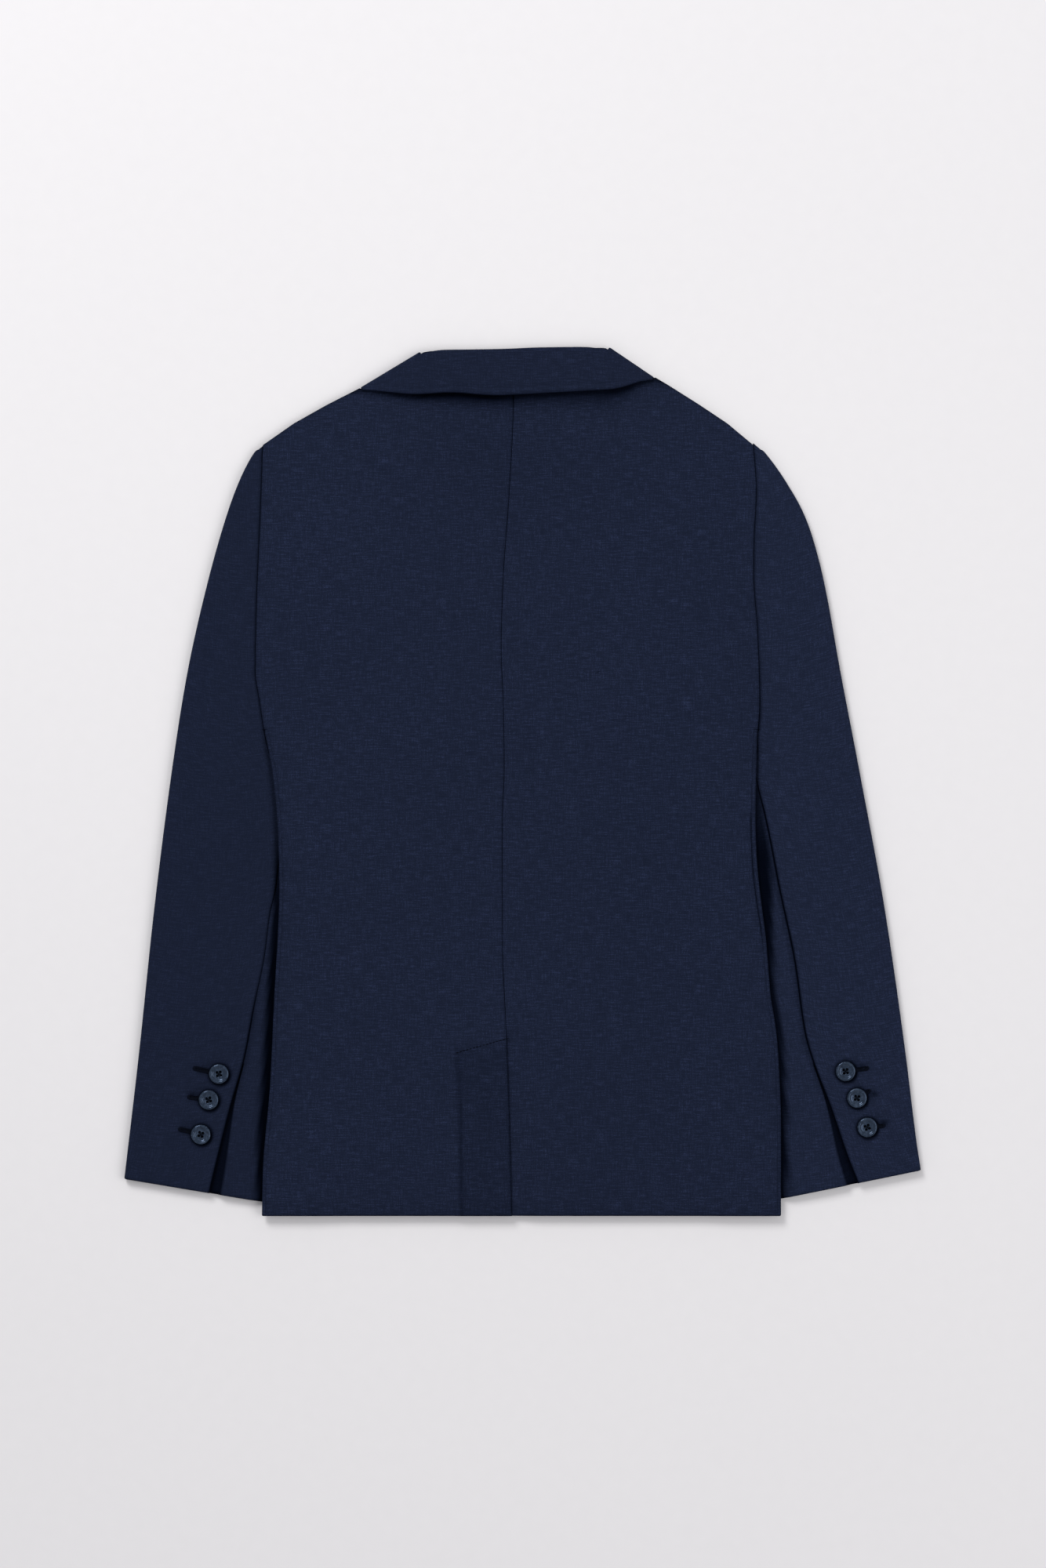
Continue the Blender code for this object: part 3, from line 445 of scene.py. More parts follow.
# %% [markdown]
# ## From a layer to cloth
#
# A grid of points through the middle of a layer becomes a closed wall of cloth. A Solidify modifier
# would do that too, but it leaves square edges. Here the wall thins over its last millimetre, so an
# edge looks turned and pressed, and two edges side by side leave the soft groove of a seam. The grid
# gets extra lines close to its sides for that. Each point also gets its place on the flat cloth, in
# metres, as a UV map: the weave is drawn in it, so it runs with the grain and turns with a sleeve.
# Three marks go with each point for the material: how near it is to an edge, which paints shade along
# edges and seams; how much painted shade it gets, for a fold or an edge above it where little light
# reaches; and how crinkled the cloth is there.
# %% Cloth walls from grids
ROLL_RADIUS = 1.2
ROLL_THIN = 0.12
EDGE_LINES = (0.0, 0.25, 0.6, 1.1, 2.2)
FINE_STEP = 2.6
COARSE_STEP = 5.5
# How far the painted shade of an edge reaches, and where the cloth is crinkled: x, y, sizes and amount
EDGE_SHADE_REACH = 0.75
CRINKLE_BASE = 0.35
CRINKLE_SPOTS = ((78, 20, 85, 110, 0.65), (-90, 30, 80, 100, 0.3))
panels = {}


def mesh_of(name, points, edges, faces):
    """Mesh from points in millimetres."""
    mesh = bpy.data.meshes.new(name)
    mesh.from_pydata((np.array(points) * MM).tolist(), edges, faces)
    return mesh


def placed(name, data):
    """Object of the given mesh, light or camera, put into the scene."""
    made = bpy.data.objects.new(name, data)
    bpy.context.scene.collection.objects.link(made)
    return made


def spaced(total, step):
    """Places from 0 to total: close together at both ends, a step apart between."""
    count = max(2, int(round((total - 2 * EDGE_LINES[-1]) / step)))
    inner = np.linspace(EDGE_LINES[-1], total - EDGE_LINES[-1], count + 1)
    return np.concatenate((EDGE_LINES[:-1], inner, total - np.array(EDGE_LINES[-2::-1])))


def reach_along(points, axis):
    """Distance along a grid's lines from its first point, in millimetres."""
    step = np.linalg.norm(np.diff(points, axis=axis), axis=2)
    start = np.zeros_like(step[:, :1] if axis else step[:1])
    return np.concatenate((start, np.cumsum(step, axis=axis)), axis=axis)


def with_rows(rows, extra):
    """Rows with some exact places put in, each instead of a near neighbour."""
    kept = [row for row in rows if min(abs(row - place) for place in extra) > 0.8]
    return np.array(sorted(kept + list(extra)))


def cloth(name, middle, thickness, follows_grid=False, keep=None, flush=(0.0, 0.0),
          flush_rows=(0.0, 0.0), painted_shade=0.0):
    """Closed wall of cloth round a grid of middle points, with rolled edges and a UV map in metres.

    flush is how far, in millimetres, the first and the last column are kept from rolling, row by row,
    and flush_rows the same for the first and the last row.
    """
    rows, columns = middle.shape[:2]
    if keep is None:
        keep = np.ones((rows - 1, columns - 1), bool)
    across, up = reach_along(middle, 1), reach_along(middle, 0)
    first, last = (np.broadcast_to(np.reshape(value, (-1, 1)), (rows, 1)) for value in flush)
    near = np.minimum.reduce((across + first, across[:, -1:] - across + last,
                              up + flush_rows[0], up[-1:] - up + flush_rows[1]))
    rolled = np.sqrt(1 - (1 - np.clip(near / ROLL_RADIUS, 0, 1)) ** 2)
    half = (ROLL_THIN + (1 - ROLL_THIN) * rolled)[..., None] * thickness / 2
    normal = np.cross(np.gradient(middle, axis=1), np.gradient(middle, axis=0))
    normal /= np.linalg.norm(normal, axis=2, keepdims=True)
    count = rows * columns
    corner = np.arange(count).reshape(rows, columns)
    upper = np.stack((corner[:-1, :-1], corner[:-1, 1:], corner[1:, 1:], corner[1:, :-1]), axis=2)[keep]
    edges = {(int(face[k]), int(face[(k + 1) % 4])) for face in upper for k in range(4)}
    rim = np.array([(b, a, a + count, b + count) for a, b in sorted(edges) if (b, a) not in edges])
    faces = np.concatenate((upper, upper[:, ::-1] + count, rim))
    points = np.concatenate([(middle + side * normal * half).reshape(-1, 3) for side in (1, -1)])
    used, faces = np.unique(faces, return_inverse=True)
    faces = faces.reshape(-1, 4)
    mesh = mesh_of(name, points[used], [], faces.tolist())
    plan = np.dstack((across, up)) if follows_grid else middle[..., :2]
    plan = np.tile(plan.reshape(-1, 2), (2, 1))[used] * MM
    loops = np.empty(len(mesh.loops), int)
    mesh.loops.foreach_get("vertex_index", loops)
    mesh.uv_layers.new(name="grain").data.foreach_set("uv", plan[loops].ravel())
    marks = {"near_edge": np.tile(np.exp(-near / EDGE_SHADE_REACH).ravel(), 2)[used],
             "painted_shade": np.tile(np.broadcast_to(painted_shade, (rows, columns)).ravel(), 2)[used],
             "crinkle": CRINKLE_BASE + spots(CRINKLE_SPOTS, points[used, 0], points[used, 1])}
    for mark, values in marks.items():
        mesh.attributes.new(mark, "FLOAT", "POINT").data.foreach_set("value", values)
    mesh.shade_smooth()
    mesh.set_sharp_from_angle(angle=math.radians(60))
    cut = np.zeros((rows, columns), bool)
    for shift in ((0, 0), (0, 1), (1, 0), (1, 1)):
        cut[shift[0]:rows - 1 + shift[0], shift[1]:columns - 1 + shift[1]] |= keep
    return placed(name, mesh)


# %% [markdown]
# ## Panels between four sides
#
# A body panel is known by its four sides. A Coons patch fills them: it blends between the two long
# sides and between hem and shoulder at once, which is how a pattern's grid lines run too.
# %% Panels


def patch(bottom, top, left, right, across_share, up_share):
    """Plan of a four-sided panel: each side is given as points, left to right or hem to neck."""
    u = np.array(across_share)[None, :, None]
    v = np.array(up_share)[:, None, None]
    corners = ((1 - u) * (1 - v) * bottom[0] + u * (1 - v) * bottom[-1]
               + (1 - u) * v * top[0] + u * v * top[-1])
    return ((1 - v) * bottom[None] + v * top[None] + (1 - u) * left[:, None] + u * right[:, None]
            - corners)


def body_panel(half, outer_x, inner_x, inner_top, top_line, step):
    """Plan of a body panel from its outer side to its inner side, as functions of y."""
    rows = with_rows(HEM_Y + spaced(BODY_TOP_Y - HEM_Y, step), (UNDERARM_Y, UNDERARM_Y + 0.1))
    up = (rows - HEM_Y) / (BODY_TOP_Y - HEM_Y)
    inner_y = HEM_Y + up * (inner_top - HEM_Y)
    outer = np.stack((outer_x(rows), rows), axis=1)
    inner = np.stack((inner_x(inner_y), inner_y), axis=1)
    left, right = (outer, inner) if half is LEFT else (inner, outer)
    total = float(np.abs(right[0, 0] - left[0, 0]))
    share = spaced(total, step) / total
    bottom = np.stack((blend(left[0, 0], right[0, 0], share), np.full(len(share), HEM_Y)), axis=1)
    top_x = blend(left[-1, 0], right[-1, 0], share)
    top = np.stack((top_x, straight(top_line, top_x)), axis=1)
    left[-1], right[-1] = top[0], top[-1]
    return patch(bottom, top, left, right, share, up)


# %% [markdown]
# ## The back
#
# Two halves meet in the curved centre-back seam. Below the waist the seam opens into the hem vent:
# the left half laps over the right, whose underlap runs on beneath it and shows as a faint pressed
# ridge. The underlap is made as extra grid columns that exist only below the slanted top of the vent.
# %% Back halves


def back_edge(half, y):
    """Side seam below the underarm and armhole seam above it."""
    inset = np.where(y <= UNDERARM_Y, along(half["seam_inset"], y), 0.0) + HALF_GAP
    return along(half["edge"], y) - half["sign"] * inset


def side_flush(half, y):
    """The side-back seam is pressed flat, except for a stretch on the right where it can be seen."""
    flat = np.where(y <= UNDERARM_Y, ROLL_RADIUS * 0.75, 0.0)
    if half is RIGHT:
        flat = flat * (1 - fade(y, -10, -30) * fade(y, -135, -112))
    return flat


def underlap_columns(plan):
    """Columns to the left of the centre-back seam, kept below the slanted top of the vent."""
    reach = 1 - spaced(VENT_WIDTH, 4.0)[:-1] / VENT_WIDTH
    extra = np.repeat(plan[:, :1], len(reach), axis=1)
    extra[..., 0] -= VENT_WIDTH * reach
    extra[..., 1] -= 10 * reach * fade(extra[..., 1], VENT_TOP_Y - 60, VENT_TOP_Y)
    vent_row = int(np.argmin(np.abs(plan[:, 0, 1] - VENT_TOP_Y)))
    plan = np.concatenate((extra, plan), axis=1)
    keep = np.ones((plan.shape[0] - 1, plan.shape[1] - 1), bool)
    keep[vent_row:, :len(reach)] = False
    return plan, keep


def make_back(half, name):
    """One half of the back, the right one with the vent's underlap."""
    inward = -half["sign"] * HALF_GAP
    top_line = tuple(half["shoulder"]) + tuple(half["neck"][1:])
    if half is RIGHT:
        top_line = tuple(half["neck"]) + tuple(half["shoulder"][1:])
    plan = body_panel(half, lambda y: back_edge(half, y), lambda y: along(CENTRE_BACK, y) - inward,
                      NECK_SEAM_Y, top_line, FINE_STEP)
    keep = None
    flush = (side_flush(half, plan[:, 0, 1]), 0.0)
    if half is RIGHT:
        flush = (0.0, side_flush(half, plan[:, -1, 1]))
        plan, keep = underlap_columns(plan)
    x, y = plan[..., 0], plan[..., 1]
    return cloth(name, np.dstack((x, y, back_height(half, x, y))), BACK_WALL, keep=keep, flush=flush,
                 painted_shade=back_painted_shade(half, x, y))


for side, half in SIDES:
    panels["back_" + side] = make_back(half, "linen_back_" + side)

# %% [markdown]
# ## Fronts and lapels underneath
#
# The jacket lies on its fronts, and nothing of them shows in the picture. They are finished plainly:
# two panels, the left lapping over the right, with the lapels turned back beneath them. They rest on
# the surface and lift where a lapel or the collar lies below.
# %% Fronts and lapels


def edge_path(points, count):
    """Points spaced evenly along a run of straight pieces."""
    points = np.array(points, float)
    reach = np.concatenate(([0], np.cumsum(np.linalg.norm(np.diff(points, axis=0), axis=1))))
    place = np.linspace(0, reach[-1], count)
    return np.stack([np.interp(place, reach, points[:, k]) for k in range(2)], axis=1)


def make_front(half, name):
    """Front from the side-front seam to its edge, with a plain cutaway hem."""
    sign = half["sign"]

    def outer_x(y):
        return along(half["edge"], y) - sign * (along(FRONT_SEAM, y) + HALF_GAP)

    plan = body_panel(half, outer_x, lambda y: CENTRE_X + sign * straight(FRONT_EDGE, y), ROLL_TOP[1],
                      half["shoulder"], COARSE_STEP)
    x, y = plan[..., 0], plan[..., 1]
    return cloth(name, np.dstack((x, y, front_height(half, x, y))), FRONT_WALL)


def make_lapel(half, name, start):
    """The turned-back part of a front, from the start row of its two side tables."""
    up_count, across_count = 45, 17
    roll = edge_path(LAPEL_ROLL[start:], up_count)
    edge = edge_path(LAPEL_EDGE[start:], up_count)
    bottom = edge_path((LAPEL_ROLL[start], LAPEL_EDGE[start]), across_count)
    top = edge_path(LAPEL_TOP, across_count)
    plan = patch(bottom, top, roll, edge, np.linspace(0, 1, across_count), np.linspace(0, 1, up_count))
    if half is LEFT:
        plan = plan[:, ::-1]
    x = CENTRE_X + half["sign"] * plan[..., 0]
    return cloth(name, np.dstack((x, plan[..., 1], np.full(x.shape, LAPEL_WALL / 2))), LAPEL_WALL)


for side, half in SIDES:
    panels["front_" + side] = make_front(half, "linen_front_" + side)
for start, (side, half) in enumerate(SIDES):
    panels["lapel_" + side] = make_lapel(half, "linen_lapel_" + side, start)

# %% [markdown]
# ## Side panels and their soft folds
#
# A body folded flat has no seam at its side: the side panel goes round. It is drawn row by row as a
# section through the cloth: from the side-back seam outward, round a narrow pressed fold and back
# under the body. The same fold is used for the sleeves.
# %% Side panels
TURN_POINTS, LOWER_POINTS = 13, 22


def fold_width(radius):
    """A tall fold is narrower than it is high, as pressed cloth is."""
    return min(radius, FOLD_WIDTH)


def arc(middle, radius, start, end, count):
    """Run outward and height of points round a fold, angles in degrees from the outward direction."""
    width = fold_width(radius)
    angles = np.radians(np.linspace(start, end, count))
    return [(width * math.cos(a), middle + radius * math.sin(a)) for a in angles]


def make_side(half, name):
    """Side panel, row by row: seam, pressed fold and the part that runs back under the body."""
    sign = half["sign"]
    rows = []
    heights = HEM_Y + spaced(UNDERARM_Y - HEM_Y, FINE_STEP)
    for y in heights:
        edge = float(along(half["edge"], y))
        inset = float(along(half["seam_inset"], y)) - HALF_GAP
        width = float(along(FRONT_SEAM, y)) - HALF_GAP
        tuck = max(float(along(TUCK, y)), 0.0)
        over = float(fade(y, UNDERARM_Y, TUCK_START_Y))
        low = blend(SIDE_WALL / 2, SIDE_OVER_SLEEVE, over)
        high = float(back_height(half, np.array(edge - sign * inset), np.array(float(y))))
        radius = (high - low) / 2
        centre = SIDE_WALL / 2 + fold_width(radius)
        seam = [(inset, high), (inset - 0.2, high)] if inset > centre + 0.25 else [(inset, high)]
        turn = [(centre - run, height)
                for run, height in arc((high + low) / 2, radius, 90, -90, TURN_POINTS)]
        lower = []
        for distance in np.linspace(centre, width, LOWER_POINTS)[1:]:
            drop = fade(distance, tuck + 12, tuck + 36) * over
            lower.append((distance, blend(low, SIDE_WALL / 2, float(drop))))
        if len(seam) == 1:
            turn = [(inset - 0.1, high)] + turn
        rows.append([(edge - sign * run, y, height) for run, height in seam + turn + lower])
    grid = np.array(rows)
    flush = (side_flush(half, heights), 0.0)
    if half is LEFT:
        grid = grid[:, ::-1]
        flush = (0.0, side_flush(half, heights))
    return cloth(name, grid, SIDE_WALL, follows_grid=True, flush=flush,
                 flush_rows=(0.0, ROLL_RADIUS * 2))


for side, half in SIDES:
    panels["side_" + side] = make_side(half, "linen_side_" + side)

# %% [markdown]
# ## Sleeves in two pieces
#
# A tailored sleeve has a wide top sleeve and a narrow under sleeve. The hindarm seam between them
# runs down the back of the arm and ends in the cuff vent. Each row of a sleeve is one section of a
# flattened tube: the upper layer, the outer fold, the lower layer and, on the under sleeve, the
# inner fold that lies tucked beneath the body.
# %% Sleeve sections


def meet(half, table, outer_x, y_outer, slope, offset=0.0):
    """Distance inward from the outer fold at which a row meets a curve."""
    x = outer_x
    for _ in range(6):
        y = y_outer - slope * abs(x - outer_x)
        extra = along(offset, y) if isinstance(offset, tuple) else offset
        x = float(along(half[table], y)) - half["sign"] * float(extra)
    return abs(x - outer_x)


ARMPIT_ROW = UNDERARM_Y + 0.15
CAP_TOP_Y = 252.0
CAP_SLOPE = 0.85
BUTTONS_TOP_Y = -190.0
BUTTON_STEP = 1.5
# Width of the under sleeve's lower side at the underarm and below it
FOREARM_WIDTH, FOREARM_END_Y = (1.5, 18.0), -60


def sleeve_rows(half, top_y):
    """Row places: y at the outer fold and slope of the row, from the cap to the cuff."""
    cuff_y = half["outer"][-1][0]
    heights = np.concatenate((cuff_y + spaced(BUTTONS_TOP_Y - cuff_y, BUTTON_STEP),
                              BUTTONS_TOP_Y + spaced(top_y - BUTTONS_TOP_Y, FINE_STEP)[1:]))
    exact = (CUFF_VENT_Y, CUFF_VENT_Y - 0.3)
    if top_y > ARMPIT_ROW:
        exact += (ARMPIT_ROW, ARMPIT_ROW + 0.1)
    heights = with_rows(heights, exact)[::-1]
    slopes = (half["cuff_slope"] * fade(heights, UNDERARM_Y, cuff_y)
              - CAP_SLOPE * fade(heights, CAP_TOP_Y - 12, CAP_TOP_Y))
    return [(float(y), float(slope)) for y, slope in zip(heights, slopes)]


def sleeve_section(half, y_outer, slope):
    """Sizes of one row of a sleeve, with its point maker."""
    sign = half["sign"]
    outer_x = float(along(half["outer"], y_outer))

    def plan(distance):
        return outer_x - sign * distance, y_outer - slope * distance

    def top(distance):
        x, y = plan(np.asarray(distance, float))
        return sleeve_top(half, x, y)

    low = SLEEVE_LOW + CAP_LIFT * float(fade(y_outer, CAP_START_Y, CAP_END_Y))
    outer_radius = (float(top(3.0)) - low) / 2
    section = {"plan": plan, "top": top, "low": low, "radius": outer_radius,
               "start": SLEEVE_WALL / 2 + fold_width(outer_radius)}
    if y_outer > ARMPIT_ROW + 0.05:
        section["upper"] = meet(half, "edge", outer_x, y_outer, slope)
        section["lower"] = meet(half, "edge", outer_x, y_outer, slope, FRONT_SEAM)
        return section
    fold = meet(half, "edge", outer_x, y_outer, slope, TUCK)
    radius = (float(top(fold - 2)) - low) / 2
    inner = fold - SLEEVE_WALL / 2 - fold_width(radius)
    section.update(inner_radius=radius, inner=inner)
    section["upper"] = min(meet(half, "hindarm", outer_x, y_outer, slope), inner - 1.2)
    section["lower"] = inner - blend(*FOREARM_WIDTH, float(fade(y_outer, UNDERARM_Y, FOREARM_END_Y)))
    return section


def row_points(section, run, height):
    """Points of a row from its runs inward and its heights."""
    run = np.asarray(run, float)
    x, y = section["plan"](run)
    return np.stack((x, y, np.broadcast_to(height, run.shape)), axis=1)


# %% [markdown]
# The top sleeve starts at the hindarm seam, or at the armhole seam above the underarm, and ends at
# the forearm seam underneath.
# %% Top sleeves
# How far the painted shade along the hindarm seam reaches
SEAM_SHADE_REACH = 1.1
UPPER_COLUMNS, TOP_FOLD_COLUMNS, TOP_LOWER_COLUMNS = 72, 12, 16
SEAM_FLAT_Y = (-2, 12)


def make_top_sleeve(half, name):
    """Top sleeve, with painted shade along the hindarm seam and the pressed seam at the underarm."""
    rows, seam_marks, seam_flush = [], [], []
    for y_outer, slope in sleeve_rows(half, CAP_TOP_Y):
        part = sleeve_section(half, y_outer, slope)
        start, low = part["start"], part["low"]
        width = part["upper"] - HALF_GAP - start
        fixed = np.array(EDGE_LINES) if width > 9 else np.linspace(0, width * 0.4, len(EDGE_LINES))
        body = np.linspace(fixed[-1], width, UPPER_COLUMNS)[1:]
        run = start + width - np.concatenate((fixed, body))
        upper = row_points(part, run, part["top"](run))
        fold = arc((upper[-1, 2] + low) / 2, part["radius"], 75, -90, TOP_FOLD_COLUMNS)
        turn = row_points(part, [start - f[0] for f in fold], [f[1] for f in fold])
        lower = row_points(part, np.linspace(start, part["lower"] - HALF_GAP, TOP_LOWER_COLUMNS)[1:],
                           low)
        rows.append(np.concatenate((upper, turn, lower)))
        mark = np.zeros(len(rows[-1]))
        # Painted shade along the hindarm seam, beside the step down to the under sleeve
        if y_outer < ARMPIT_ROW:
            near_seam = np.exp(-(fixed / SEAM_SHADE_REACH) ** 2)
            mark[:len(fixed)] = along(half["seam_shade"], y_outer) * near_seam
        seam_marks.append(mark)
        near_armpit = y_outer < ARMPIT_ROW + 0.05
        seam_flush.append(2 * ROLL_RADIUS * float(fade(y_outer, *SEAM_FLAT_Y)) if near_armpit else 0.0)
    grid = np.array(rows)
    painted_shade = np.maximum(sleeve_painted_shade(half, grid[..., 0], grid[..., 1]), np.array(seam_marks))
    return cloth(name, grid, SLEEVE_WALL, follows_grid=True, flush=(seam_flush, 0.0), painted_shade=painted_shade)


for side, half in SIDES:
    panels["top_sleeve_" + side] = make_top_sleeve(half, "linen_top_sleeve_" + side)

# %% [markdown]
# The under sleeve goes from the forearm seam round the inner fold to the hindarm seam. In the cuff
# vent its edge runs on as an underlap, a step lower, and the gap above it widens towards the cuff. The
# underlap and the seam get painted shade.
# %% Under sleeves
UNDER_STEP = 2.7
SEAM_STEP, SEAM_STEP_Y = 1.0, (15, -12)
OPEN_WIDTH, OPEN_END_Y = (1.2, 10.0), -310
STEP_REACH = 3.5
# How far the painted shade along the hindarm seam reaches on the under sleeve
MARK_REACH = 1.2
# How much painted shade the cuff vent's underlap gets
WING_SHADE = 0.85
LOWER_COLUMNS, FOLD_COLUMNS, STEP_COLUMNS, LAP_COLUMNS = 8, 12, 3, 8
SEAM_COLUMN = LOWER_COLUMNS + FOLD_COLUMNS
STEP_COLUMN = SEAM_COLUMN + FOLD_COLUMNS


def make_under_sleeve(half, name):
    """Under sleeve, with the step down to its vent's underlap."""
    rows, seam_marks = [], []
    for y_outer, slope in sleeve_rows(half, ARMPIT_ROW):
        part = sleeve_section(half, y_outer, slope)
        low, radius, inner = part["low"], part["inner_radius"], part["inner"]
        lower = row_points(part, np.linspace(part["lower"] + HALF_GAP, inner, LOWER_COLUMNS), low)
        fold = arc(low + radius, radius, -80, 80, FOLD_COLUMNS)
        turn = row_points(part, [inner + f[0] for f in fold], [f[1] for f in fold])
        seam = part["upper"] + HALF_GAP
        down = float(fade(y_outer, CUFF_VENT_Y + 0.2, CUFF_VENT_Y - 0.2))
        edge = seam + blend(*OPEN_WIDTH, float(fade(y_outer, CUFF_VENT_Y, OPEN_END_Y)))
        run = np.linspace(inner, max(edge, seam), FOLD_COLUMNS)
        seam_step = SEAM_STEP * float(fade(y_outer, *SEAM_STEP_Y))
        upper = row_points(part, run, part["top"](run) - seam_step * np.exp((seam - run) / STEP_REACH))
        step_run = np.concatenate((blend(max(edge, seam), seam, np.array((0.2, 0.45, 1.0))),
                                   seam - CUFF_UNDERLAP * np.linspace(0.1, 1, LAP_COLUMNS)))
        step_drop = np.ones(len(step_run))
        step_drop[0] = 0.5
        sunk = seam_step * (1 - down) * np.exp(np.minimum(seam - step_run, 0) / STEP_REACH)
        wing = row_points(part, step_run, part["top"](step_run) - UNDER_STEP * down * step_drop - sunk)
        rows.append(np.concatenate((lower, turn, upper, wing)))
        # Painted shade along the hindarm seam
        mark = np.zeros(len(rows[-1]))
        marked = np.concatenate((run, step_run[:STEP_COLUMNS]))
        mark[SEAM_COLUMN:STEP_COLUMN + STEP_COLUMNS] = (along(half["seam_shade"], y_outer)
                                                        * np.exp((seam - marked) / MARK_REACH))
        seam_marks.append(mark)
    grid = np.array(rows)
    vent_row = next(i for i, row in enumerate(sleeve_rows(half, ARMPIT_ROW)) if row[0] <= CUFF_VENT_Y)
    keep = np.ones((grid.shape[0] - 1, grid.shape[1] - 1), bool)
    keep[:vent_row, -LAP_COLUMNS:] = False
    painted_shade = np.maximum(sleeve_painted_shade(half, grid[..., 0], grid[..., 1]), np.array(seam_marks))
    # Painted shade on the vent's underlap, below the top sleeve's edge
    lap_painted_shade = painted_shade[vent_row:, STEP_COLUMN:]
    lap_painted_shade[:] = np.maximum(lap_painted_shade, WING_SHADE)
    return cloth(name, grid, SLEEVE_WALL, follows_grid=True, keep=keep,
                 flush_rows=(ROLL_RADIUS * 2, 0.0), painted_shade=painted_shade)


for side, half in SIDES:
    panels["under_sleeve_" + side] = make_under_sleeve(half, "linen_under_sleeve_" + side)

# %% [markdown]
# ## Collar
#
# The fall is the part of the collar that folds over: it crosses the back neck, turns under at both
# shoulders and ends in the notches beneath. Its roll is a real fold here, curling down to the stand.
# Along its free edge runs the soft ridge of the turned cloth, and the edge stands off the back, over
# the painted shadow drawn on the back beneath it.
# %% Collar fall and stand
CURL_LINES = 9
CURL_SHARE = 0.9
EDGE_RIDGE = 0.85
# Roll and edge of the collar's hidden end at three places, from the notch to the shoulder
COLLAR_ENDS = (((56.3, 266.7), (104, 246.4)), ((62, 285), (118, 266)), ((68, 305), (119, 285)))
END_SECTIONS, TURN_SECTIONS, NECK_SECTIONS = 16, 15, 86
# Ridge and trough beside the collar's edge: distance in, half width, share of the ridge's height
EDGE_RIDGES = ((2.6, 1.4, 1.0), (5.6, 1.4, -0.7))


def fall_sections():
    """Roll point, edge point, outward direction and curl of each section, notch to notch."""
    low = COLLAR_WALL / 2
    radius = (FALL_HEIGHT - low) / 2
    found = []

    def front_part(half, ends):
        roll = edge_path([end[0] for end in ends], END_SECTIONS)
        edge = edge_path([end[1] for end in ends], END_SECTIONS)
        for a, b in zip(roll, edge):
            found.append(((CENTRE_X + half["sign"] * a[0], a[1], low),
                          (CENTRE_X + half["sign"] * b[0], b[1], low), 0.0))

    def turn(roll, edge, outward, start, end):
        for angle in np.radians(np.linspace(start, end, TURN_SECTIONS)):
            run = fold_width(radius) * math.cos(angle)
            height = (FALL_HEIGHT + low) / 2 + radius * math.sin(angle)
            ends = [(point[0] + outward[0] * run, point[1] + outward[1] * run, height)
                    for point in (roll, edge)]
            found.append((ends[0], ends[1], 0.0))

    front_part(LEFT, COLLAR_ENDS)
    turn(FALL_ROLL[0], FALL_EDGE[0], (-0.514, 0.857), -90, 90)
    for share in np.linspace(0, 1, NECK_SECTIONS)[1:-1]:
        roll_x = blend(FALL_ROLL[0][0], FALL_ROLL[-1][0], share)
        edge_x = blend(FALL_EDGE[0][0], FALL_EDGE[-1][0], share)
        lift = FALL_EDGE_LIFT * float(fade(share, 0, 0.12) * fade(share, 1, 0.88))
        curl = float(fade(share, 0.05, 0.16) * fade(share, 0.95, 0.84))
        found.append(((roll_x, float(along(FALL_ROLL, roll_x)), FALL_HEIGHT),
                      (edge_x, float(along(FALL_EDGE, edge_x)), FALL_HEIGHT + lift), curl))
    turn(FALL_ROLL[-1], FALL_EDGE[-1], (0.539, 0.842), 90, -90)
    front_part(RIGHT, COLLAR_ENDS[::-1])
    return found


def make_collar_fall(name):
    """Fall, section by section: the curl over the stand, then the strip down to its free edge."""
    rows = []
    radius = (FALL_HEIGHT - STAND_HEIGHT) / 2
    for roll, edge, curl in fall_sections():
        roll, edge = np.array(roll), np.array(edge)
        width = float(np.linalg.norm(edge - roll))
        outward = (roll - edge) / width
        roll = roll - outward * radius * CURL_SHARE * curl
        angle = np.radians(np.linspace(-90, 80, CURL_LINES))[:, None]
        bent = (roll + outward * radius * np.cos(angle) * CURL_SHARE
                + np.array((0, 0, radius)) * (np.sin(angle) - 1))
        flat = roll - outward * 0.14 * np.arange(CURL_LINES)[:, None]
        start = blend(flat, bent, curl)
        width -= radius * CURL_SHARE * curl
        away = spaced(width - 1.6, 1.4) + 1.6
        strip = roll - outward * away[:, None]
        from_edge = width - away
        ridge = sum(amount * np.exp(-((from_edge - place) / size) ** 2)
                    for place, size, amount in EDGE_RIDGES)
        strip[:, 2] += EDGE_RIDGE * ridge * curl
        rows.append(np.concatenate((start, strip)))
    widest = max(len(row) for row in rows)
    same = [np.stack([np.interp(np.linspace(0, 1, widest), np.linspace(0, 1, len(row)), row[:, k])
                      for k in range(3)], axis=1) for row in rows]
    return cloth(name, np.array(same), COLLAR_WALL)


def make_collar_stand(name):
    """Strip from the neck seam up to the collar's roll, under the fall."""
    neck = tuple(LEFT["neck"]) + tuple(RIGHT["neck"][1:])
    x = np.linspace(-58, 46, 40)
    low = straight(neck, x) + SEAM_GAP + 0.5
    high = along(FALL_ROLL, x) - 1.5
    y = blend(low, high, np.linspace(0, 1, 8)[:, None])
    grid = np.dstack((np.broadcast_to(x, y.shape), y, np.full(y.shape, STAND_HEIGHT)))
    return cloth(name, grid, STAND_WALL)


panels["collar_fall"] = make_collar_fall("linen_collar_fall")
panels["collar_stand"] = make_collar_stand("linen_collar_stand")

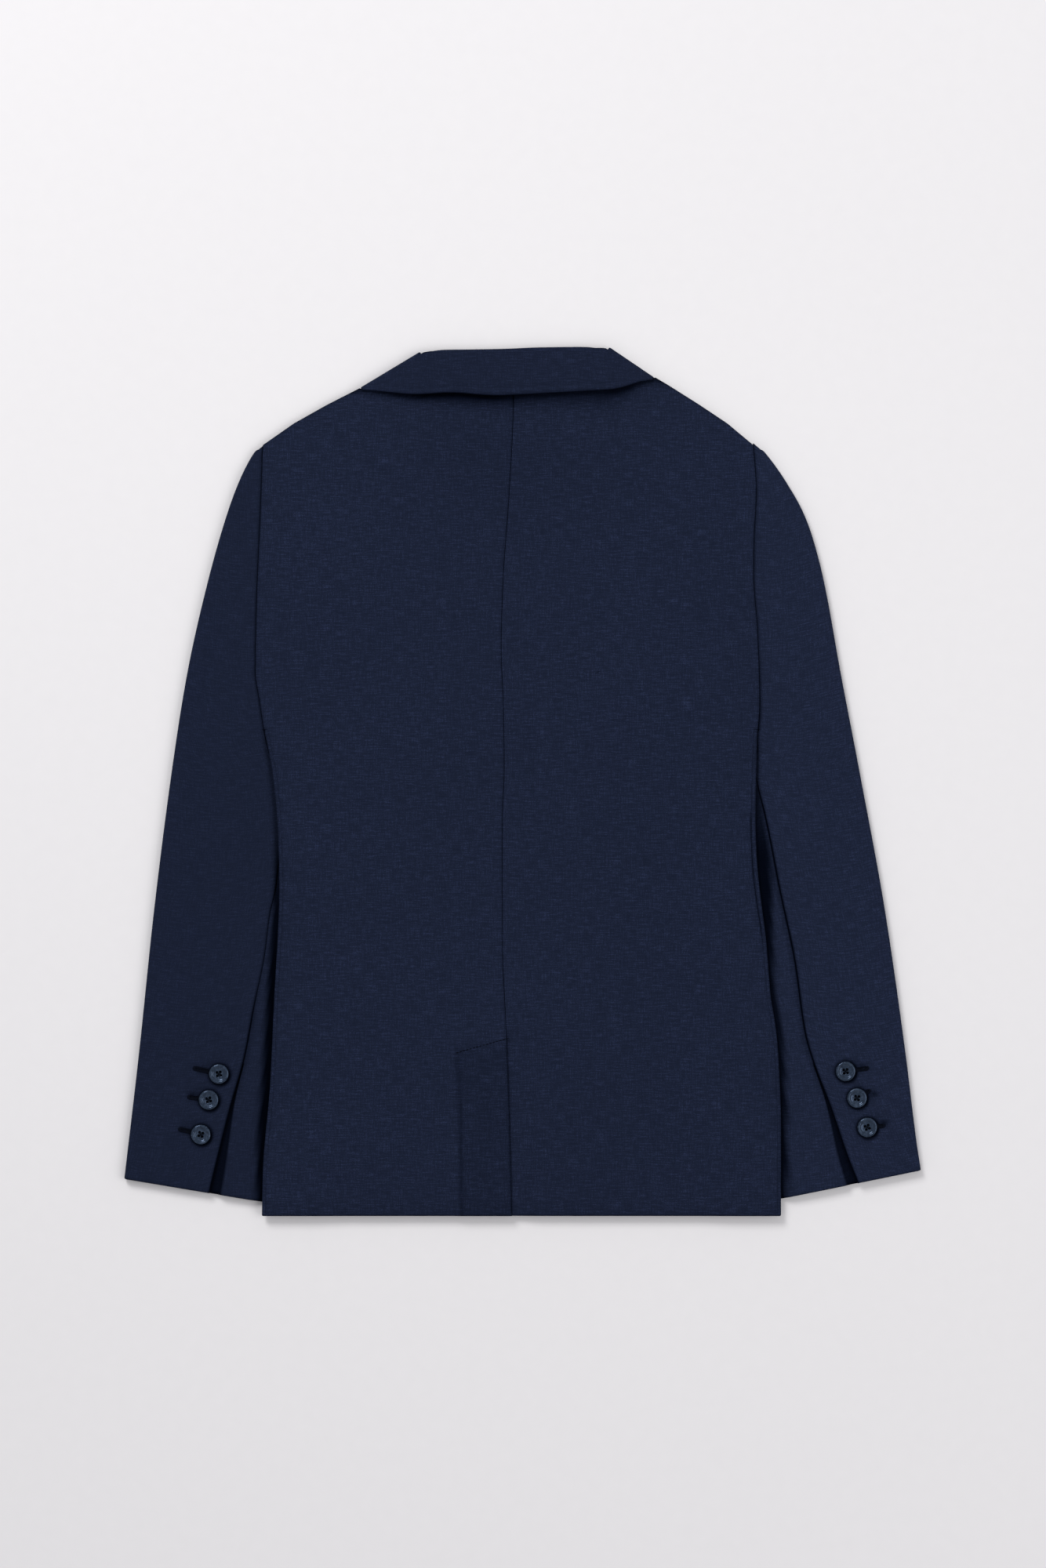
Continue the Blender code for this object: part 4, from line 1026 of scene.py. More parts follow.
# %% [markdown]
# ## Cuff buttons
#
# Three buttons sit on each sleeve vent. Such a button is turned from a disc: a rounded rim, a sunk
# dish and four drilled holes. The profile is spun round as rings of points and the holes are cut with
# a Boolean, as a drill would. The rim is left bare. One button is made and then copied, tilted to
# the cloth it sits on.
# %% Button blank
BUTTON_PROFILE = ((0.0, 0.0), (4.6, 0.0), (5.6, 0.25), (6.6, 0.7), (7.25, 1.2), (BUTTON_RADIUS, 1.65),
                  (7.42, 2.0), (7.15, 2.3), (6.75, 2.5), (6.3, 2.58), (5.9, 2.52), (5.55, 2.34),
                  (5.25, 2.08), (4.95, 1.8), (4.5, 1.58), (3.9, 1.4), (3.2, 1.3),
                  (2.4, 1.26), (1.2, 1.3), (0.0, 1.32))
BUTTON_SIDES = 56
DRILL_SIDES = 18
HOLE_OFFSET = 1.3
HOLE_RADIUS = 1.0


def turned(name, profile, sides, centre=(0.0, 0.0)):
    """Solid of revolution from a profile of radius and height that starts and ends on its axis."""
    points = [(*centre, profile[0][1])]
    for radius, height in profile[1:-1]:
        points += [(centre[0] + radius * math.cos(2 * math.pi * k / sides),
                    centre[1] + radius * math.sin(2 * math.pi * k / sides), height) for k in range(sides)]
    points.append((*centre, profile[-1][1]))
    last = len(points) - 1
    pairs = [(k, (k + 1) % sides) for k in range(sides)]
    faces = [(0, 1 + b, 1 + a) for a, b in pairs]
    for first in range(1, last - sides, sides):
        faces += [(first + a, first + b, first + b + sides, first + a + sides) for a, b in pairs]
    faces += [(last - sides + a, last - sides + b, last) for a, b in pairs]
    return placed(name, mesh_of(name, points, [], faces))


def drilled_button():
    """Mesh of one button with its four sewing holes."""
    blank = turned("button_blank", BUTTON_PROFILE, BUTTON_SIDES)
    drill_profile = ((0, -1), (HOLE_RADIUS, -1), (HOLE_RADIUS, 1.1), (HOLE_RADIUS * 1.25, 1.4),
                     (HOLE_RADIUS * 1.5, 4), (0, 4))
    drills = [turned("drill", drill_profile, DRILL_SIDES, (HOLE_OFFSET * a, HOLE_OFFSET * b))
              for a in (-1, 1) for b in (-1, 1)]
    for drill in drills:
        cut = blank.modifiers.new("hole", "BOOLEAN")
        cut.operation = "DIFFERENCE"
        cut.object = drill
    mesh = bpy.data.meshes.new_from_object(blank.evaluated_get(bpy.context.evaluated_depsgraph_get()))
    for made in [blank] + drills:
        bpy.data.objects.remove(made)
    # The walls of the drilled holes are marked for painted shade, near-black in the material
    at = np.array([point.co for point in mesh.vertices]) / MM
    from_hole = np.hypot(*(np.abs(at[:, :2].T) - HOLE_OFFSET))
    inside = from_hole < HOLE_RADIUS * 1.1
    mesh.attributes.new("painted_shade", "FLOAT", "POINT").data.foreach_set("value", inside.astype(float))
    mesh.shade_smooth()
    mesh.set_sharp_from_angle(angle=math.radians(50))
    return mesh


button_mesh = drilled_button()
print("button faces:", len(button_mesh.polygons))

# %% [markdown]
# A button lies on the sleeve's own slope, which is read from the layer height on both sides of it.
# The six buttons aren't turned alike: each keeps the turn that sewing gave it.
# %% Buttons on the sleeves
from mathutils import Matrix, Vector

BUTTON_SEAT = 0.4
SEAT_SPREAD = 6.0
SEATS = {"%s_%d" % (side, number): (half, x, y, turn)
         for side, half in SIDES
         for number, ((x, y), turn) in enumerate(zip(half["buttons"], half["button_turns"]), start=1)}


def button_place(half, x, y, turn):
    """Matrix that puts a button made at the origin onto the sleeve's upper face, in metres."""
    steps = (-SEAT_SPREAD, 0, SEAT_SPREAD)
    top = np.array([[float(sleeve_top(half, x + a, y + b)) for b in steps] for a in steps])
    slope_x, slope_y = top[2, 1] - top[0, 1], top[1, 2] - top[1, 0]
    normal = Vector((-slope_x, -slope_y, 2 * SEAT_SPREAD)).normalized()
    spot = Vector((x, y, float(top.mean()) + SLEEVE_WALL / 2 + BUTTON_SEAT)) * MM
    return (Matrix.Translation(spot) @ normal.to_track_quat("Z", "Y").to_matrix().to_4x4()
            @ Matrix.Rotation(math.radians(turn), 4, "Z"))


buttons = {}
for seat, where in SEATS.items():
    mesh = button_mesh.copy()
    mesh.transform(button_place(*where))
    buttons[seat] = placed("horn_button_" + seat, mesh)
print("buttons:", len(buttons))

# %% [markdown]
# ## Stitches that repeat
#
# Each worked buttonhole is edged with short purl stitches, the vent is held by a slanted row of
# stitches, and each button is sewn on through its four holes. Stitches repeat along a path, which is
# what Geometry Nodes do well: one tree takes a guide line, puts a stitch at every step along it, turns
# it across or along the line and gives each a little unevenness from a fixed seed.
# %% Stitch tree


def give(tree, node, inputs):
    """Links sockets to a node's inputs and sets the plain values."""
    for key, value in inputs.items():
        if isinstance(value, bpy.types.NodeSocket):
            tree.links.new(value, node.inputs[key])
        else:
            node.inputs[key].default_value = value


def add_node(tree, kind, inputs=None, **settings):
    """Adds a node with its input values or links and with its settings."""
    node = tree.nodes.new(kind)
    for key, value in settings.items():
        setattr(node, key, value)
    give(tree, node, inputs or {})
    return node


def math_node(tree, operation, *values, **settings):
    """Result of one operation on values or sockets."""
    return add_node(tree, "ShaderNodeMath", dict(enumerate(values)), operation=operation,
                    **settings).outputs[0]


def stitch_tree(name):
    """Tree that lays one stitch at every step along a guide line."""
    tree = bpy.data.node_groups.new(name, "GeometryNodeTree")
    sockets = (("Guide", "Geometry", None), ("Spacing", "Float", 0.001), ("Stitch length", "Float", 0.0012),
               ("Thread width", "Float", 0.0004), ("Turn", "Float", 0.0), ("Unevenness", "Float", 0.1),
               ("Thread", "Material", None))
    for label, kind, value in sockets:
        made = tree.interface.new_socket(label, in_out="INPUT", socket_type="NodeSocket" + kind)
        if value is not None:
            made.default_value = value
    tree.interface.new_socket("Stitches", in_out="OUTPUT", socket_type="NodeSocketGeometry")
    given = add_node(tree, "NodeGroupInput").outputs
    line = add_node(tree, "GeometryNodeMeshToCurve", {"Mesh": given["Guide"]})
    steps = add_node(tree, "GeometryNodeResampleCurve",
                     {"Curve": line.outputs["Curve"], "Length": given["Spacing"]}, mode="LENGTH")
    tangent = add_node(tree, "GeometryNodeInputTangent")
    facing = add_node(tree, "FunctionNodeAlignRotationToVector", {"Vector": tangent.outputs[0]}, axis="X")
    uneven = math_node(tree, "MULTIPLY", given["Unevenness"], -1.0)
    jitter = add_node(tree, "FunctionNodeRandomValue", {2: uneven, 3: given["Unevenness"], "Seed": 7},
                      data_type="FLOAT")
    angle = math_node(tree, "ADD", given["Turn"], jitter.outputs[1])
    spin = add_node(tree, "FunctionNodeAxisAngleToRotation", {"Axis": (0, 0, 1), "Angle": angle})
    turned_to = add_node(tree, "FunctionNodeRotateRotation",
                         {"Rotation": facing.outputs[0], "Rotate By": spin.outputs[0]},
                         rotation_space="LOCAL")
    ball = add_node(tree, "GeometryNodeMeshIcoSphere", {"Radius": 0.5, "Subdivisions": 2})
    width = given["Thread width"]
    shape = add_node(tree, "ShaderNodeCombineXYZ", {"X": given["Stitch length"], "Y": width, "Z": width})
    stitch = add_node(tree, "GeometryNodeTransform",
                      {"Geometry": ball.outputs["Mesh"], "Scale": shape.outputs[0]})
    copies = add_node(tree, "GeometryNodeInstanceOnPoints",
                      {"Points": steps.outputs["Curve"], "Instance": stitch.outputs[0],
                       "Rotation": turned_to.outputs[0]})
    real = add_node(tree, "GeometryNodeRealizeInstances", {"Geometry": copies.outputs[0]})
    smooth = add_node(tree, "GeometryNodeSetShadeSmooth", {"Geometry": real.outputs[0]})
    finish = add_node(tree, "GeometryNodeSetMaterial",
                      {"Geometry": smooth.outputs[0], "Material": given["Thread"]})
    add_node(tree, "NodeGroupOutput", {"Stitches": finish.outputs[0]})
    return tree


stitches = stitch_tree("stitches_along_a_line")
print("nodes in the stitch tree:", len(stitches.nodes))

# %% [markdown]
# ## Colours
#
# Colours are read off the real thing as sRGB hex, and the renderer works in linear light, so one
# function turns them.
# %% Colour helper


def linear(code, scale=1.0):
    """Linear RGBA of an sRGB hex colour, made lighter or darker by a factor."""
    parts = [int(code[k:k + 2], 16) / 255 for k in (1, 3, 5)]
    parts = [p / 12.92 if p <= 0.04045 else ((p + 0.055) / 1.055) ** 2.4 for p in parts]
    return tuple(min(1.0, p * scale) for p in parts) + (1.0,)


def new_material(name):
    """Material with an empty tree, its output node and its shader."""
    material = bpy.data.materials.new(name)
    material.use_nodes = True
    tree = material.node_tree
    tree.nodes.clear()
    shader = add_node(tree, "ShaderNodeBsdfPrincipled")
    add_node(tree, "ShaderNodeOutputMaterial", {"Surface": shader.outputs[0]})
    return material, tree, shader


def ramp_of(tree, value, stops, tone=1.0):
    """Colour of a value, from rows of a place between 0 and 1 and an sRGB colour."""
    ramp = add_node(tree, "ShaderNodeValToRGB", {"Fac": value})
    elements = ramp.color_ramp.elements
    for k, (place, code) in enumerate((stops[0], stops[-1])):
        elements[k].position = place
        elements[k].color = linear(code, tone)
    for place, code in stops[1:-1]:
        elements.new(place).color = linear(code, tone)
    return ramp.outputs[0]


def noise(tree, place, scale, detail, **more):
    """Noise with the given number of grains to the metre."""
    return add_node(tree, "ShaderNodeTexNoise",
                    {"Vector": place, "Scale": scale, "Detail": detail, **more}).outputs[0]


def mark_of(tree, name):
    """A mark that was stored with the points of a mesh."""
    return add_node(tree, "ShaderNodeAttribute", attribute_name=name).outputs["Fac"]


def mixed(tree, share, first, second):
    """Colour at a share of the way from the first colour to the second."""
    return add_node(tree, "ShaderNodeMix", {0: share, 6: first, 7: second}, data_type="RGBA",
                    blend_type="MIX").outputs[2]


def ranged(tree, value, low, high, **more):
    """Value spread over a range."""
    return add_node(tree, "ShaderNodeMapRange",
                    {"Value": value, "To Min": low, "To Max": high, **more}).outputs[0]


def sum_of(tree, terms):
    """Sum of socket times factor, as a chain of multiply-adds."""
    total = 0.0
    for socket, factor in terms:
        total = math_node(tree, "MULTIPLY_ADD", socket, factor, total)
    return total


print("navy in linear light:", [round(v, 4) for v in linear("#1e2439")])

# %% [markdown]
# ## Navy linen
#
# Linen is woven from flax yarns that swell and thin along their length: the thick places are slubs.
# The cloth is a plain weave of about 20 yarns to the centimetre, piece-dyed navy, so the two yarn
# systems differ a little and light flecks stand out. A fixed grid of waves would shimmer at this
# distance. So each yarn system is a noise that is stretched 12 to 1 along the yarn, which gives every
# yarn its own tone. The yarns are drawn 0.9 mm apart in place of the real 0.5 mm, because 0.5 mm is
# less than one pixel here. The dry, matt surface is a high roughness with hardly any mirror part.
# %% Linen material
YARN_PITCH = 0.9
YARN_RUN = 11.0
SLUB_LENGTH = 4.6
SLUB_WIDTH = 0.95
# Warp, weft, the slubs of both, fibre, mottle and cloud. Columns: grain size across and up in
# millimetres, detail, roughness, pattern offset, share of the colour, share of the relief
LINEN_LAYERS = ((YARN_PITCH, YARN_RUN, 1.0, 0.5, 0.0, 0.22, 0.10),
                (YARN_RUN, YARN_PITCH, 1.0, 0.5, 3.1, 0.32, 0.12),
                (SLUB_LENGTH, SLUB_WIDTH, 2.0, 0.6, 7.7, 0.16, 0.10),
                (SLUB_WIDTH, SLUB_LENGTH * 0.8, 2.0, 0.6, 11.3, 0.10, 0.07),
                (0.8, 0.8, 2.0, 0.7, 17.0, 0.52, 0.05),
                (12.0, 9.0, 3.0, 0.6, 23.0, 0.04, 0.0),
                (120.0, 90.0, 2.0, 0.5, 29.0, 0.05, 0.0))
FIBRE = 4
CRINKLE = (15.0, 2.8, 3.0, 0.55, 31.0)
NAVY = ((0.0, "#171d2d"), (0.5, "#21283c"), (1.0, "#455178"))
# Near-black navy that painted shade mixes towards, and how much painted shade an edge or seam gets
PAINTED_SHADE_COLOUR = "#02040c"
EDGE_SHADE = 0.62
TONE_MIDDLE, TONE_SPREAD = 0.705, 0.40


def stretched_noise(tree, place, layer, seed, distortion=0.0):
    """Noise of a layer's grain size, on the cloth's own grain."""
    size_x, size_y, detail, roughness, offset = layer[:5]
    moved = seed + offset
    scaled = add_node(tree, "ShaderNodeMapping",
                      {"Vector": place, "Scale": (1 / (size_x * MM), 1 / (size_y * MM), 1.0),
                       "Location": (moved, moved * 0.7, moved)})
    return add_node(tree, "ShaderNodeTexNoise",
                    {"Vector": scaled.outputs[0], "Scale": 1.0, "Detail": detail,
                     "Roughness": roughness, "Distortion": distortion},
                    noise_dimensions="2D").outputs[0]


def painted_shade_share(tree):
    """How much painted shade the cloth gets: along its edges and seams, deep in folds and under edges."""
    return math_node(tree, "MULTIPLY_ADD", mark_of(tree, "near_edge"), EDGE_SHADE,
                     mark_of(tree, "painted_shade"), use_clamp=True)


def navy_linen(name, tone, seed, crinkle_strength, contrast):
    """Plain-weave linen: tone scales its colour, seed moves its pattern, contrast spreads its yarns."""
    material, tree, shader = new_material("navy_linen_plain_weave_" + name)
    grain = add_node(tree, "ShaderNodeUVMap", uv_map="grain").outputs[0]
    layers = [stretched_noise(tree, grain, layer, seed) for layer in LINEN_LAYERS]
    yarns = sum_of(tree, [(made, row[5]) for made, row in zip(layers, LINEN_LAYERS)])
    spread = ranged(tree, yarns, 0.0, 1.0, **{"From Min": TONE_MIDDLE - TONE_SPREAD / contrast,
                                              "From Max": TONE_MIDDLE + TONE_SPREAD / contrast})
    # The yarn colour is mixed towards near-black navy by the painted shade
    colour = mixed(tree, painted_shade_share(tree), ramp_of(tree, spread, NAVY, tone), linear(PAINTED_SHADE_COLOUR))
    crinkle = math_node(tree, "MULTIPLY", stretched_noise(tree, grain, CRINKLE, seed, 0.35),
                        mark_of(tree, "crinkle"))
    relief = sum_of(tree, [(crinkle, crinkle_strength)]
                    + [(made, row[6]) for made, row in zip(layers, LINEN_LAYERS) if row[6]])
    bump = add_node(tree, "ShaderNodeBump", {"Height": relief, "Strength": 1.0, "Distance": 0.0009})
    give(tree, shader, {"Base Color": colour, "Roughness": ranged(tree, layers[FIBRE], 0.78, 0.95),
                        "Normal": bump.outputs[0],
                        "Specular IOR Level": 0.03, "Specular Tint": linear("#8ea4e0")})
    return material


# Panels that share a look: tone, pattern offset, crinkle strength, contrast of the yarns. The right
# sleeve's tone is set lighter than the left's: painted light, for the light that falls more on it.
LOOKS = {"back": (0.79, 0.0, 0.75, 0.74), "sleeve_left": (0.73, 41.0, 0.40, 0.45),
         "sleeve_right": (0.85, 59.0, 0.45, 0.66), "collar": (0.72, 83.0, 0.30, 0.55),
         "fronts": (0.78, 127.0, 0.40, 0.7)}
linens = {name: navy_linen(name, *look) for name, look in LOOKS.items()}
print("linen nodes:", len(linens["back"].node_tree.nodes))

# %% [markdown]
# ## Polyester sewing thread
#
# The stitches are spun polyester, twisted from two plies and dyed to the cloth but a little darker and
# smoother. The twist is a fine wave across the thread, drawn at 0.5 mm, and the colour follows it: painted
# shade between the plies and painted light on them.
# %% Thread material
PLY_STEP = 0.5


def sewing_thread(name, dark, light):
    """Twisted thread: painted shade between its plies and painted light on them."""
    material, tree, shader = new_material("spun_polyester_thread_" + name)
    place = add_node(tree, "ShaderNodeTexCoord").outputs["Object"]
    twist = add_node(tree, "ShaderNodeTexWave",
                     {"Vector": place, "Scale": 1 / (PLY_STEP * MM * math.pi), "Distortion": 1.5,
                      "Detail": 1.0}, wave_type="BANDS", bands_direction="DIAGONAL")
    value = sum_of(tree, [(twist.outputs["Fac"], 0.55), (noise(tree, place, 2500.0, 2.0), 0.45)])
    bump = add_node(tree, "ShaderNodeBump", {"Height": value, "Strength": 0.6, "Distance": 0.0001})
    give(tree, shader, {"Base Color": ramp_of(tree, value, ((0.0, dark), (1.0, light))),
                        "Normal": bump.outputs[0], "Roughness": 0.7, "Specular IOR Level": 0.04})
    return material


thread_navy = sewing_thread("navy", "#04060c", "#0e1322")
thread_button = sewing_thread("button", "#030509", "#0a0f1a")
print("thread materials:", thread_navy.name, thread_button.name)

# %% [markdown]
# ## Horn-look button resin
#
# The buttons imitate polished horn: a polyester resin turned on a lathe, clouded blue-grey, with a
# hard gloss. Inside the drilled holes the colour is painted shade, near-black. The clouds are a
# distorted noise about 3 mm across.
# The fine streaks are a second one, which also makes the gloss slightly uneven.
# %% Button material
CLOUD_SIZE = 3.2
STREAK_SIZE = 0.7


def horn_resin(name):
    """Polished resin, clouded and streaked, with painted shade in its drilled holes."""
    material, tree, shader = new_material(name)
    place = add_node(tree, "ShaderNodeTexCoord").outputs["Object"]
    cloud = noise(tree, place, 1 / (CLOUD_SIZE * MM), 3.0, Distortion=1.2)
    streak = noise(tree, place, 1 / (STREAK_SIZE * MM), 2.0)
    colour = ramp_of(tree, sum_of(tree, [(cloud, 0.7), (streak, 0.3)]),
                     ((0.2, "#0e141c"), (0.5, "#242e3c"), (0.85, "#4c5a6e")))
    bump = add_node(tree, "ShaderNodeBump", {"Height": streak, "Strength": 0.25, "Distance": 0.00008})
    # The holes' walls are mixed to near-black: painted shade
    give(tree, shader, {"Base Color": mixed(tree, mark_of(tree, "painted_shade"), colour, linear("#020306")),
                        "Roughness": ranged(tree, streak, 0.07, 0.15), "Normal": bump.outputs[0],
                        "IOR": 1.65, "Specular Tint": linear("#9fb6dc")})
    return material


button_resin = horn_resin("polished_horn_look_resin")
print("button material:", button_resin.name)

# %% [markdown]
# ## Stitching on the jacket
#
# A guide line is a few points on the cloth's upper face. The stitch tree turns it into stitches, and
# the result becomes a plain mesh: the modifier is only a tool here.
# %% Guides and stitches


def guide_line(name, points):
    """Mesh of one open or closed run of points, in millimetres."""
    closed = np.allclose(points[0], points[-1])
    points = points[:-1] if closed else points
    count = len(points)
    edges = [(k, (k + 1) % count) for k in range(count if closed else count - 1)]
    return placed(name, mesh_of(name, points, edges, []))


def sew(name, points, spacing, length, width, turn, unevenness, thread):
    """Plain mesh of the stitches along a guide; sizes in millimetres, turn in degrees."""
    made = guide_line(name, points)
    tool = made.modifiers.new("stitches", "NODES")
    tool.node_group = stitches
    given = {"Spacing": spacing * MM, "Stitch length": length * MM, "Thread width": width * MM,
             "Turn": math.radians(turn), "Unevenness": unevenness, "Thread": thread}
    for item in stitches.interface.items_tree:
        if item.in_out == "INPUT" and item.name in given:
            tool[item.identifier] = given[item.name]
    made.update_tag()
    plain = bpy.data.meshes.new_from_object(made.evaluated_get(bpy.context.evaluated_depsgraph_get()))
    made.modifiers.clear()
    plain.materials.clear()
    plain.materials.append(thread)
    plain.polygons.foreach_set("material_index", np.zeros(len(plain.polygons), np.int32))
    made.data = plain
    return made


def joined(name, pieces):
    """One object from several meshes that sit at the origin."""
    with bpy.context.temp_override(active_object=pieces[0], selected_editable_objects=pieces):
        bpy.ops.object.join()
    pieces[0].name = name
    pieces[0].data.name = name
    return pieces[0]


VENT_STITCHES = ((-11.9, -195.9), (-49.8, -206.5))
vent_points = [(x, y, float(back_height(LEFT, x, y)) + BACK_WALL / 2 + 0.02)
               for x, y in blend(*np.array(VENT_STITCHES), np.linspace(0, 1, 24)[:, None])]
vent_stitches = sew("vent_holding_stitches", vent_points, spacing=2.5, length=2.5, width=0.9, turn=0,
                    unevenness=0.06, thread=thread_navy)
print("vent stitches:", len(vent_stitches.data.polygons), "faces")

# %% [markdown]
# A worked buttonhole is a slit with purl stitches set across its edge. It runs from under the button
# outward, and only its outer part shows. The open slit is a near-black sheet laid on the cloth: painted
# shade.
# %% Worked buttonholes
HOLE_HALF_WIDTH = 1.0
HOLE_START = -3.0
PURL_RAISED = 0.18
SLIT_RAISED, SLIT_THICK = 0.05, 0.12


def buttonhole_loop(half, x, y, length, turn, half_width, above):
    """Points on the sleeve, round a slit that starts on the inner side of the button's middle."""
    angle = math.radians(turn)
    ahead = np.array((math.cos(angle), math.sin(angle)))
    aside = np.array((-ahead[1], ahead[0]))
    points = [ahead * (run + half_width * math.cos(a)) + aside * half_width * math.sin(a)
              for run, start in ((HOLE_START, 90), (length, -90))
              for a in np.radians(np.linspace(start, start + 180, 7))]
    dense = []
    for a, b in zip(points, points[1:] + points[:1]):
        count = max(1, int(np.linalg.norm(b - a)))
        dense += [a + (b - a) * k / count for k in range(count)]
    dense.append(dense[0])
    return [(x + p[0], y + p[1], float(sleeve_top(half, x + p[0], y + p[1])) + SLEEVE_WALL / 2 + above)
            for p in dense]


def slit(name, half, x, y, length, turn):
    """The open slit: a thin near-black lens between the purl stitches, painted shade."""
    loop = buttonhole_loop(half, x, y, length, turn, HOLE_HALF_WIDTH * 0.8, SLIT_RAISED)[:-1]
    low = [(p[0], p[1], p[2] - SLIT_THICK) for p in loop]
    count = len(loop)
    faces = [tuple(range(count)), tuple(reversed(range(count, 2 * count)))]
    faces += [((k + 1) % count, k, k + count, (k + 1) % count + count) for k in range(count)]
    made = placed(name, mesh_of(name, loop + low, [], faces))
    # The near-black thread colour paints the open slit's shade
    made.data.materials.append(thread_button)
    return made


buttonholes = {}
for (seat, (half, x, y, _)), hole in zip(SEATS.items(), LEFT["buttonholes"] + RIGHT["buttonholes"]):
    name = "buttonhole_" + seat
    purls = sew(name + "_purls", buttonhole_loop(half, x, y, *hole, HOLE_HALF_WIDTH, PURL_RAISED),
                spacing=0.5, length=2.2, width=0.5, turn=90, unevenness=0.12, thread=thread_navy)
    buttonholes[seat] = joined(name, [purls, slit(name + "_slit", half, x, y, *hole)])
print("buttonholes:", len(buttonholes), "with", len(buttonholes["left_1"].data.polygons), "faces each")

# %% [markdown]
# Each button is sewn on with strands that cross its dish from hole to hole. A strand is a row of
# stitches so close that they run into one thread.
# %% Threads through the buttons
STRAND_LANE = 0.2
STRAND_HEIGHT, STRAND_ARCH, STRAND_DIVE, STRAND_OVER = 1.35, 0.42, 0.9, 0.2
HOLES_DIAGONAL = 2.83


def button_thread(name, place):
    """Four strands in two crossing pairs over the dish of a button, the second pair on the first."""
    strands = []
    for number, (a, b) in enumerate((((-1, -1), (1, 1)), ((-1, 1), (1, -1)))):
        for lane in (-STRAND_LANE, STRAND_LANE):
            aside = np.array((-(b[1] - a[1]), b[0] - a[0])) / HOLES_DIAGONAL * lane
            points = []
            for share in np.linspace(0, 1, 15):
                flat = blend(np.array(a), np.array(b), share) * HOLE_OFFSET + aside
                height = STRAND_HEIGHT + STRAND_ARCH * math.sin(math.pi * share) ** 0.5
                height += STRAND_OVER * number - STRAND_DIVE * (abs(share - 0.5) > 0.47)
                points.append(np.array(place @ (Vector((*flat, height)) * MM)) / MM)
            strands.append(sew(name + "_strand", points, spacing=0.3, length=0.75, width=0.42, turn=0,
                               unevenness=0.05, thread=thread_button))
    return joined(name, strands)


button_threads = {seat: button_thread("button_thread_" + seat, button_place(*where))
                  for seat, where in SEATS.items()}
print("button threads:", len(button_threads))
print("faces in each:", len(button_threads["left_1"].data.polygons))

# %% [markdown]
# ## Materials on the pieces
#
# Every panel of one jacket comes from one roll of cloth, but each is cut from another place on it. So
# the panels share a material in groups, with the pattern moved from group to group. The tone differs
# from group to group as well: the right sleeve is made lighter than the left, which is painted light.
# %% Assign the materials
LOOK_OF = {"back": "back", "side": "back", "front": "fronts", "lapel": "fronts", "collar": "collar",
           "sleeve_left": "sleeve_left", "sleeve_right": "sleeve_right"}
for node, panel in panels.items():
    look = next(LOOK_OF[key] for key in LOOK_OF if key in node)
    panel.data.materials.append(linens[look])
for made in buttons.values():
    made.data.materials.clear()
    made.data.materials.append(button_resin)
print("panels:", len(panels))

# %% [markdown]
# ## What lies on what
#
# Cloth laid on cloth says which pieces are below it, so that nobody has to find it out from the
# heights. The stitches and buttonholes that are sewn into a panel are listed with that panel.
# %% Rests and sewn-on pieces
RESTS_ON = {
    "back_left": ["front_left", "back_right"], "back_right": ["front_right"],
    "side_left": ["under_sleeve_left", "floor"], "side_right": ["under_sleeve_right", "floor"],
    "front_left": ["lapel_left", "collar_fall", "floor"],
    "front_right": ["front_left", "lapel_right", "collar_fall", "floor"],
    "lapel_left": ["floor"], "lapel_right": ["floor"],
    "top_sleeve_left": ["floor"], "top_sleeve_right": ["floor"],
    "under_sleeve_left": ["floor"], "under_sleeve_right": ["floor"],
    "collar_fall": ["floor", "collar_stand"], "collar_stand": ["front_left", "front_right"],
}
extras = {"back_left": [vent_stitches]}
for side, half in SIDES:
    extras["top_sleeve_" + side] = [buttonholes["%s_%d" % (side, number)] for number in (1, 2, 3)]
print("rests stated:", len(RESTS_ON))

# %% [markdown]
# ## Floor
#
# The jacket lies on a sheet of matt white paper, larger than the picture. Paper has no gloss, and its
# pulp makes the white vary by a shade, which keeps the sheet from looking like an empty background.
# %% Floor
FLOOR_HALF = 4000.0
FLOOR_LOW = -0.2
corners = [(a * FLOOR_HALF, b * FLOOR_HALF, FLOOR_LOW) for a, b in ((-1, -1), (1, -1), (1, 1), (-1, 1))]
floor = placed("floor", mesh_of("floor", corners, [], [(0, 1, 2, 3)]))
paper, tree, shader = new_material("matt_white_studio_paper")
pulp = noise(tree, add_node(tree, "ShaderNodeTexCoord").outputs["Object"], 90.0, 3.0)
give(tree, shader, {"Base Color": ramp_of(tree, pulp, ((0.0, "#f3f1f2"), (1.0, "#f6f4f5"))),
                    "Roughness": 0.9, "Specular IOR Level": 0.1})
floor.data.materials.append(paper)
print("floor:", 2 * FLOOR_HALF * MM, "m square")

